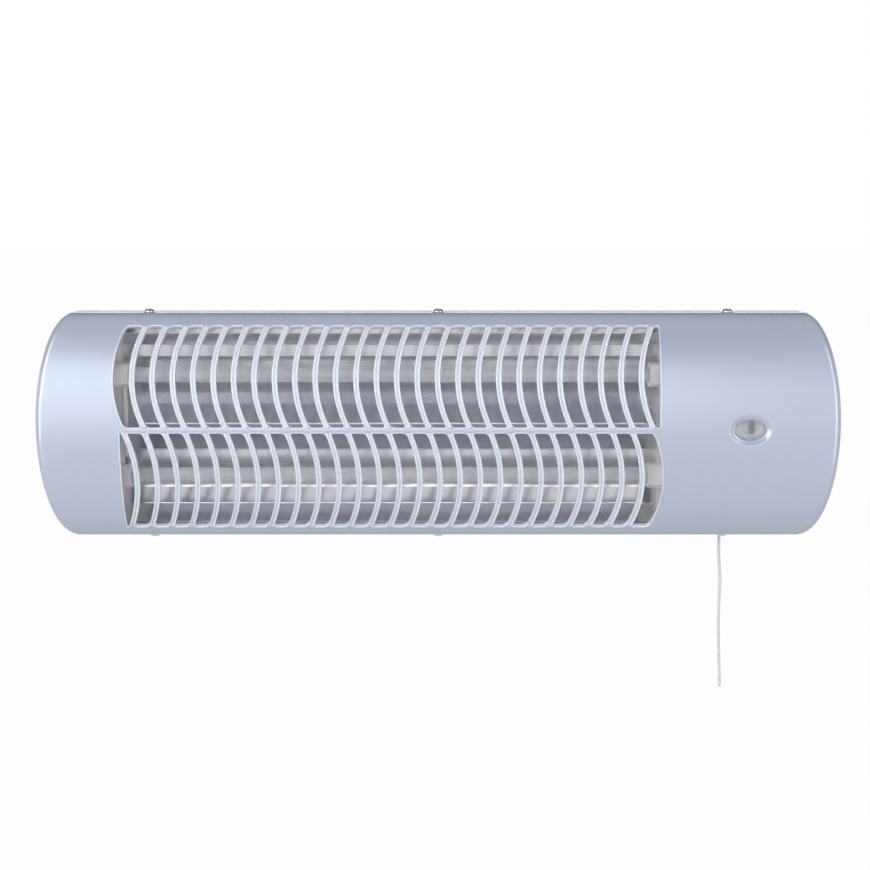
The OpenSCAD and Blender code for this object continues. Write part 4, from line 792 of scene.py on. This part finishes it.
strands = []
s = np.linspace(0, 1, 50)
spread = 0.45 + 0.25 * np.sin(math.pi * s)
for strand in range(STRANDS):
    w = 2 * math.pi * (STRAND_TURNS * s + strand / STRANDS)
    twist = np.stack([LINK_X + spread * np.cos(w), TUBE_Y + spread * np.sin(w), low + SPLICE * s], -1)
    strands.append(tube(twist, STRAND_R, 8))
points, faces = joined(strands)
splice = piece("splice_strands", points, faces, "heater", wire_metal)
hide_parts("link_splice")

# %% [markdown]
# ## Leads and return spring
# The leads inside are round insulated wires. The model has them as tubes with a few sides, on the routes
# that they need. Drawing those routes again would only risk missing a terminal, so a merged copy of each
# with one level of subdivision gives the round wire.

# %% Round leads
for name, lead_slot in (("upper_lead", "sleeving"), ("lower_lead", "sleeving"), ("lamp_leads", "sleeving"),
                        ("live_lead", "brown_insulation"), ("earth_lead", "earth_insulation")):
    mesh = frame["nodes"][name].data.copy()
    bm = bmesh.new()
    bm.from_mesh(mesh)
    bmesh.ops.remove_doubles(bm, verts=bm.verts, dist=MERGE)
    bmesh.ops.join_triangles(bm, faces=bm.faces, angle_face_threshold=0.6, angle_shape_threshold=3.1)
    bm.to_mesh(mesh)
    bm.free()
    mesh.polygons.foreach_set("use_smooth", [True] * len(mesh.polygons))
    mesh.materials.clear()
    mesh.materials.append(SLOTS[lead_slot])
    lead = bpy.data.objects.new(f"{name}_round", mesh)
    bpy.context.scene.collection.objects.link(lead)
    rounder = lead.modifiers.new("rounder", "SUBSURF")
    rounder.levels = rounder.render_levels = 1
    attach(lead, "heater")
    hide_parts(name)
    print(lead.name, len(mesh.polygons), "faces before subdivision")

# %% [markdown]
# The return spring stands on the switch's floor and carries the plunger's head. It is wound from round
# wire, so its path is a helix.

# %% Return spring
SPRING_LOW, SPRING_HIGH, TRAVEL = -67.15, -48.3, 8.0
SPRING_R, SPRING_WIRE_R, SPRING_TURNS = 3.9, 0.45, 6
w = np.linspace(0, 2 * math.pi * SPRING_TURNS, SPRING_TURNS * 28 + 1)
climb = np.linspace(SPRING_LOW + SPRING_WIRE_R, SPRING_HIGH - SPRING_WIRE_R, len(w))
wound = np.stack([SWITCH_X + SPRING_R * np.cos(w), SWITCH_Y - SPRING_R * np.sin(w), climb], -1)
points, faces = tube(wound, SPRING_WIRE_R, 10)
spring = piece("return_coil", points, faces, "heater", spring_steel)
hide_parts("return_spring")
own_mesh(spring)

# %% [markdown]
# ## The reflector
# The CAD sheet follows a parabola in flat strips. The real sheet has fewer and plainer folds: some strips
# face the room squarely and look light, others face the tube and look dark. A new section along the same
# length gives the photograph's folds, each with a small bend, and the strips sag a little along their
# length, which makes their mirror images wander as they do on thin sheet.

# %% Folded reflector
UPPER = [(33.5, 8.7), (26.6, 9.4), (18.4, 13.8), (10.3, 14.4), (0.0, 17.4), (-21.0, 9.7)]
LOWER = [(33.5, 3.4), (14.6, 16.9), (0.0, 17.4), (-10.9, 14.9), (-22.5, 15.9), (-33.5, 6.4), (-34.3, -1.0)]
BEND, SHEET = 0.35, 0.8
SAGS = ((0.10, 23, 1.0), (0.06, 9.1, -1.7))  # depth, length and drift of two waves in the sheet
DRIFT_RUN = 9  # millimetres of height that move a wave on by one radian
folds = np.array([(TUBE_Z + u, y) for u, y in UPPER] + [(-TUBE_Z + u, y) for u, y in LOWER])
bends = [folds[0]]
for a, b in zip(folds[:-1], folds[1:]):
    way = (b - a) / np.linalg.norm(b - a)
    bends += [a + BEND * way, a + 2 * BEND * way, b - 2 * BEND * way, b - BEND * way]
bends = np.array(bends + [folds[-1]])
sheet_low, sheet_high = np.array(frame["nodes"]["reflector"].bound_box)[[0, 6], 0] * 1000
print("the sheet runs from", round(sheet_low, 1), "to", round(sheet_high, 1))

drift = np.cumsum(np.abs(np.diff(bends[:, 0], prepend=bends[0, 0]))) / DRIFT_RUN
rings = []
for x in np.linspace(sheet_low, sheet_high, 150):
    sag = sum(depth * np.sin(x / length + share * drift) for depth, length, share in SAGS)
    bright_side = np.stack([np.full(len(bends), x), bends[:, 1] + sag, bends[:, 0]], -1)
    rings.append(np.vstack([bright_side, bright_side[::-1] + [0, SHEET, 0]]))
points, faces = skin(rings, caps=False)
# A fan would cut across the bent section, so each end is closed with quads from face to face of the sheet.
across, last_ring = len(bends), (len(rings) - 1) * len(rings[0])
for i in range(across - 1):
    end = [i, i + 1, 2 * across - 2 - i, 2 * across - 1 - i]
    faces += [end, [last_ring + j for j in end[::-1]]]
reflector = piece("folded_reflector", points, faces, "heater", aluminium, sharp=50)
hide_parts("reflector")

# %% [markdown]
# ## The indicator
# The clear lens is a thin oval dome with a flange behind the cover. A single sheet would look like a
# painted oval, so the rings run from the middle of its inside round the flange to the middle of its
# outside, and the eye looks through two faces as on the moulding.

# %% Lens
LENS_X, LENS_Z = 10.1, 6.4
INNER_X, INNER_Z = 8.8, 5.1
FLANGE_X, FLANGE_Z = 12.1, 8.4
BACK_Y, FLANGE_Y, LENS_Y = -22.8, -24.0, -CROWN + 0.6
EDGE_Y = LENS_Y + 0.75
LENS_T, ROUND_IN, ROUND_UP = 1.3, 0.6, 0.45


def oval(rx, rz, y):
    """An upright oval round the lamp's axis, from its half width, half height and depth."""
    a = np.linspace(0, 2 * math.pi, 72, endpoint=False)
    return np.stack([LAMP_X + rx * np.cos(a), np.full(len(a), y), rz * np.sin(a)], -1)


inside = [(INNER_X * f, INNER_Z * f, LENS_Y + LENS_T + 0.2 * f * f) for f in (0.12, 0.4, 0.7, 0.9, 1.0)]
flange = [(INNER_X, INNER_Z, BACK_Y), (FLANGE_X, FLANGE_Z, BACK_Y), (FLANGE_X, FLANGE_Z, FLANGE_Y),
          (LENS_X, LENS_Z, FLANGE_Y), (LENS_X, LENS_Z, EDGE_Y)]
turn = np.linspace(0.3, 1.4, 5)
round_in = ROUND_IN * (1 - np.cos(turn))
rounded = list(zip(LENS_X - round_in, LENS_Z - round_in, EDGE_Y - ROUND_UP * np.sin(turn)))
crowned = [(9.5 * f, 5.8 * f, LENS_Y + 0.3 * f * f) for f in (0.97, 0.85, 0.7, 0.5, 0.3, 0.12)]
points, faces = skin([oval(*size) for size in inside + flange + rounded + crowned])
lens = piece("lens_dome", points, faces, "heater", clear, sharp=40)
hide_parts("indicator_lens")

# %% [markdown]
# Behind the lens is a white cup with sloping walls, and a neon lamp stands in it. The walls fill the lens
# with white, as the photograph shows, where a flat holder would leave it dark. The lamp's electrode is one
# wire bent to a leaning loop, narrow at the top, and its stem goes back and down into the lamp's foot.

# %% Lamp cup
FUNNEL = [(0.1, 0.1, -14.0), (2.6, 1.3, -14.0), (5.4, 2.7, -14.3), (7.4, 4.0, -15.6), (9.0, 5.3, -18.6),
          (10.2, 6.5, -21.4), (10.9, 7.2, BACK_Y)]
CUP = [(FLANGE_X, FLANGE_Z, BACK_Y), (FLANGE_X, FLANGE_Z, -9.8), (6.0, 4.0, -9.8), (0.1, 0.1, -9.8)]
points, faces = skin([oval(*size) for size in FUNNEL + CUP])
cup = piece("lamp_cup", points, faces, "heater", cup_white, sharp=35)
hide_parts("lamp_holder")

# %% Neon electrode
FOOT = np.array([LAMP_X + 3.2, -17.3, -3.0])
RING = np.array([(0.0, -0.25), (-0.65, -0.1), (-1.1, 0.5), (-1.3, 1.6), (-1.3, 3.0), (-1.2, 4.4),
                 (-0.95, 5.2), (-0.6, 5.25), (-0.2, 4.5), (0.4, 3.4), (1.0, 2.5), (1.35, 1.7), (1.15, 0.9),
                 (0.75, 0.1), (0.3, -0.22)])
STEM = np.array([(0.12, 0.1, 0.05), (0.1, 0.9, -0.5), (0.0, 1.1, -1.4), (0.0, 1.1, -2.4)])
RING_R, STEM_R, WIRE_STEP = 0.42, 0.3, 0.3
ring = refined(np.stack([RING[:, 0], np.zeros(len(RING)), RING[:, 1]], -1), WIRE_STEP)
stem = refined(STEM, WIRE_STEP)
points, faces = joined([tube(ring + FOOT, RING_R), tube(stem + FOOT, STEM_R)])
neon = piece("neon_loop", points, faces, "heater", electrode)
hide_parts("lamp_electrodes")

# %% [markdown]
# ## Room, light and backdrop
# The floor is plain and pale, well below the heater. A floor lit up to white would wash out the silver, so
# it looks nearly white to the camera by a Light Path share, keeps part of its shadow, and is quieter in
# mirrored light.

# %% Floor
FLOOR_Z, FLOOR_HALF, FLOOR_POINTS = -0.75, 60, 24
CAMERA_SHARE, MIRROR_SHARE = 0.98, 0.7


def backdrop_look():
    """A pale floor: mostly even white to the camera, so that it meets the backdrop, with the shadow kept."""
    mat = bpy.data.materials.new("pale_floor")
    mat.use_nodes = True
    tree = mat.node_tree
    shader = tree.nodes["Principled BSDF"]
    shader.inputs["Base Color"].default_value = (0.50, 0.50, 0.52, 1)
    shader.inputs["Roughness"].default_value = 0.9
    glow = tree.nodes.new("ShaderNodeEmission")
    glow.inputs["Color"].default_value = (1, 1, 1, 1)
    path = tree.nodes.new("ShaderNodeLightPath")
    mirrored = tree.nodes.new("ShaderNodeMath")
    mirrored.operation = "MULTIPLY_ADD"
    mirrored.inputs[1].default_value = MIRROR_SHARE
    tree.links.new(path.outputs["Is Glossy Ray"], mirrored.inputs[0])
    tree.links.new(path.outputs["Is Camera Ray"], mirrored.inputs[2])
    share = tree.nodes.new("ShaderNodeMath")
    share.operation = "MULTIPLY"
    share.inputs[1].default_value = CAMERA_SHARE
    mix = tree.nodes.new("ShaderNodeMixShader")
    tree.links.new(mirrored.outputs[0], share.inputs[0])
    tree.links.new(share.outputs[0], mix.inputs["Fac"])
    tree.links.new(shader.outputs[0], mix.inputs[1])
    tree.links.new(glow.outputs[0], mix.inputs[2])
    tree.links.new(mix.outputs[0], tree.nodes["Material Output"].inputs["Surface"])
    return mat


floor_mesh = bpy.data.meshes.new("floor")
ticks = np.linspace(-FLOOR_HALF, FLOOR_HALF, FLOOR_POINTS)
floor_points = [(x, y, FLOOR_Z) for y in ticks for x in ticks]
floor_mesh.from_pydata(floor_points, [], quads(FLOOR_POINTS, FLOOR_POINTS))
floor = bpy.data.objects.new("floor", floor_mesh)
bpy.context.scene.collection.objects.link(floor)
floor_mesh.materials.append(backdrop_look())
floor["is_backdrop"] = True
print("floor", 2 * FLOOR_HALF, "m square,", -FLOOR_Z, "m below the frame's origin")

# %% [markdown]
# The backdrop is white to the camera, also through the clear pieces. All other rays meet a sky that is
# light near the horizon, dark above it and lighter again overhead, because a silver thing only looks like
# silver with something dark to mirror. A ray's place on the ramp is how steeply it rises, and 0 is level.

# %% World
SKY = ((0.0, (0.95, 0.95, 0.97, 1)), (0.16, (0.90, 0.91, 0.94, 1)), (0.34, (0.20, 0.22, 0.27, 1)),
       (0.75, (0.22, 0.24, 0.29, 1)), (1.0, (0.50, 0.52, 0.58, 1)))
sky = bpy.data.worlds.new("studio")
bpy.context.scene.world = sky
sky.use_nodes = True
tree = sky.node_tree
quiet = tree.nodes["Background"]
quiet.inputs["Strength"].default_value = 1.0
place = tree.nodes.new("ShaderNodeTexCoord")
height = tree.nodes.new("ShaderNodeSeparateXYZ")
tree.links.new(place.outputs["Generated"], height.inputs["Vector"])
shade = tree.nodes.new("ShaderNodeValToRGB")
shade.color_ramp.elements[0].color = SKY[0][1]
shade.color_ramp.elements[1].color = SKY[-1][1]
for spot, colour in SKY[1:-1]:
    shade.color_ramp.elements.new(spot).color = colour
tree.links.new(height.outputs["Z"], shade.inputs["Fac"])
tree.links.new(shade.outputs["Color"], quiet.inputs["Color"])
bright = tree.nodes.new("ShaderNodeBackground")
bright.inputs["Color"].default_value = (1, 1, 1, 1)
bright.inputs["Strength"].default_value = 1.0
path = tree.nodes.new("ShaderNodeLightPath")
mix = tree.nodes.new("ShaderNodeMixShader")
tree.links.new(path.outputs["Is Camera Ray"], mix.inputs["Fac"])
tree.links.new(quiet.outputs[0], mix.inputs[1])
tree.links.new(bright.outputs[0], mix.inputs[2])
tree.links.new(mix.outputs[0], tree.nodes["World Output"].inputs["Surface"])
print("the sky's ramp has", len(shade.color_ramp.elements), "colours")

# %% [markdown]
# Five soft boxes shape the silver. Two in front give the casing its even face, upright strips at the left
# and right draw the bright lines down its round ends, and one behind lights the top edge.


# %% Soft boxes
def softbox(name, place, target, size, power):
    """A rectangular area light at a place, facing a target, in metres and watts."""
    data = bpy.data.lights.new(name, "AREA")
    data.shape = "RECTANGLE"
    data.size, data.size_y = size
    data.energy = power
    lamp = bpy.data.objects.new(name, data)
    lamp.location = place
    lamp.rotation_euler = (Vector(target) - Vector(place)).to_track_quat("-Z", "Y").to_euler()
    bpy.context.scene.collection.objects.link(lamp)


softbox("front_box", (-0.55, -2.2, 0.85), (0.0, 0.0, 0.0), (2.4, 0.7), 9)
softbox("low_fill", (-0.4, -1.9, 0.15), (0.0, 0.0, 0.0), (1.8, 0.6), 3.4)
softbox("left_strip", (-1.5, -1.35, 0.55), (-0.1, 0.0, 0.0), (0.4, 2.0), 17)
softbox("right_strip", (1.35, -1.30, 0.30), (0.1, 0.0, 0.0), (0.30, 2.0), 9)
softbox("back_box", (0.0, 2.3, 0.42), (0.0, 0.0, 0.10), (3.0, 0.4), 9)
bpy.context.scene.view_settings.view_transform = "Standard"

# %% [markdown]
# ## Check the size and finish
# The dressed model keeps the CAD box but for fractions of a millimetre. The CAD box is measured at the start
# and the dressed one here, and the print shows how much it grows.

# %% Finish
low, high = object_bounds()
grown = (np.array(high) - np.array(low)) - (np.array(cad_high) - np.array(cad_low))
print("grows by", (grown * 1000).round(1), "mm")
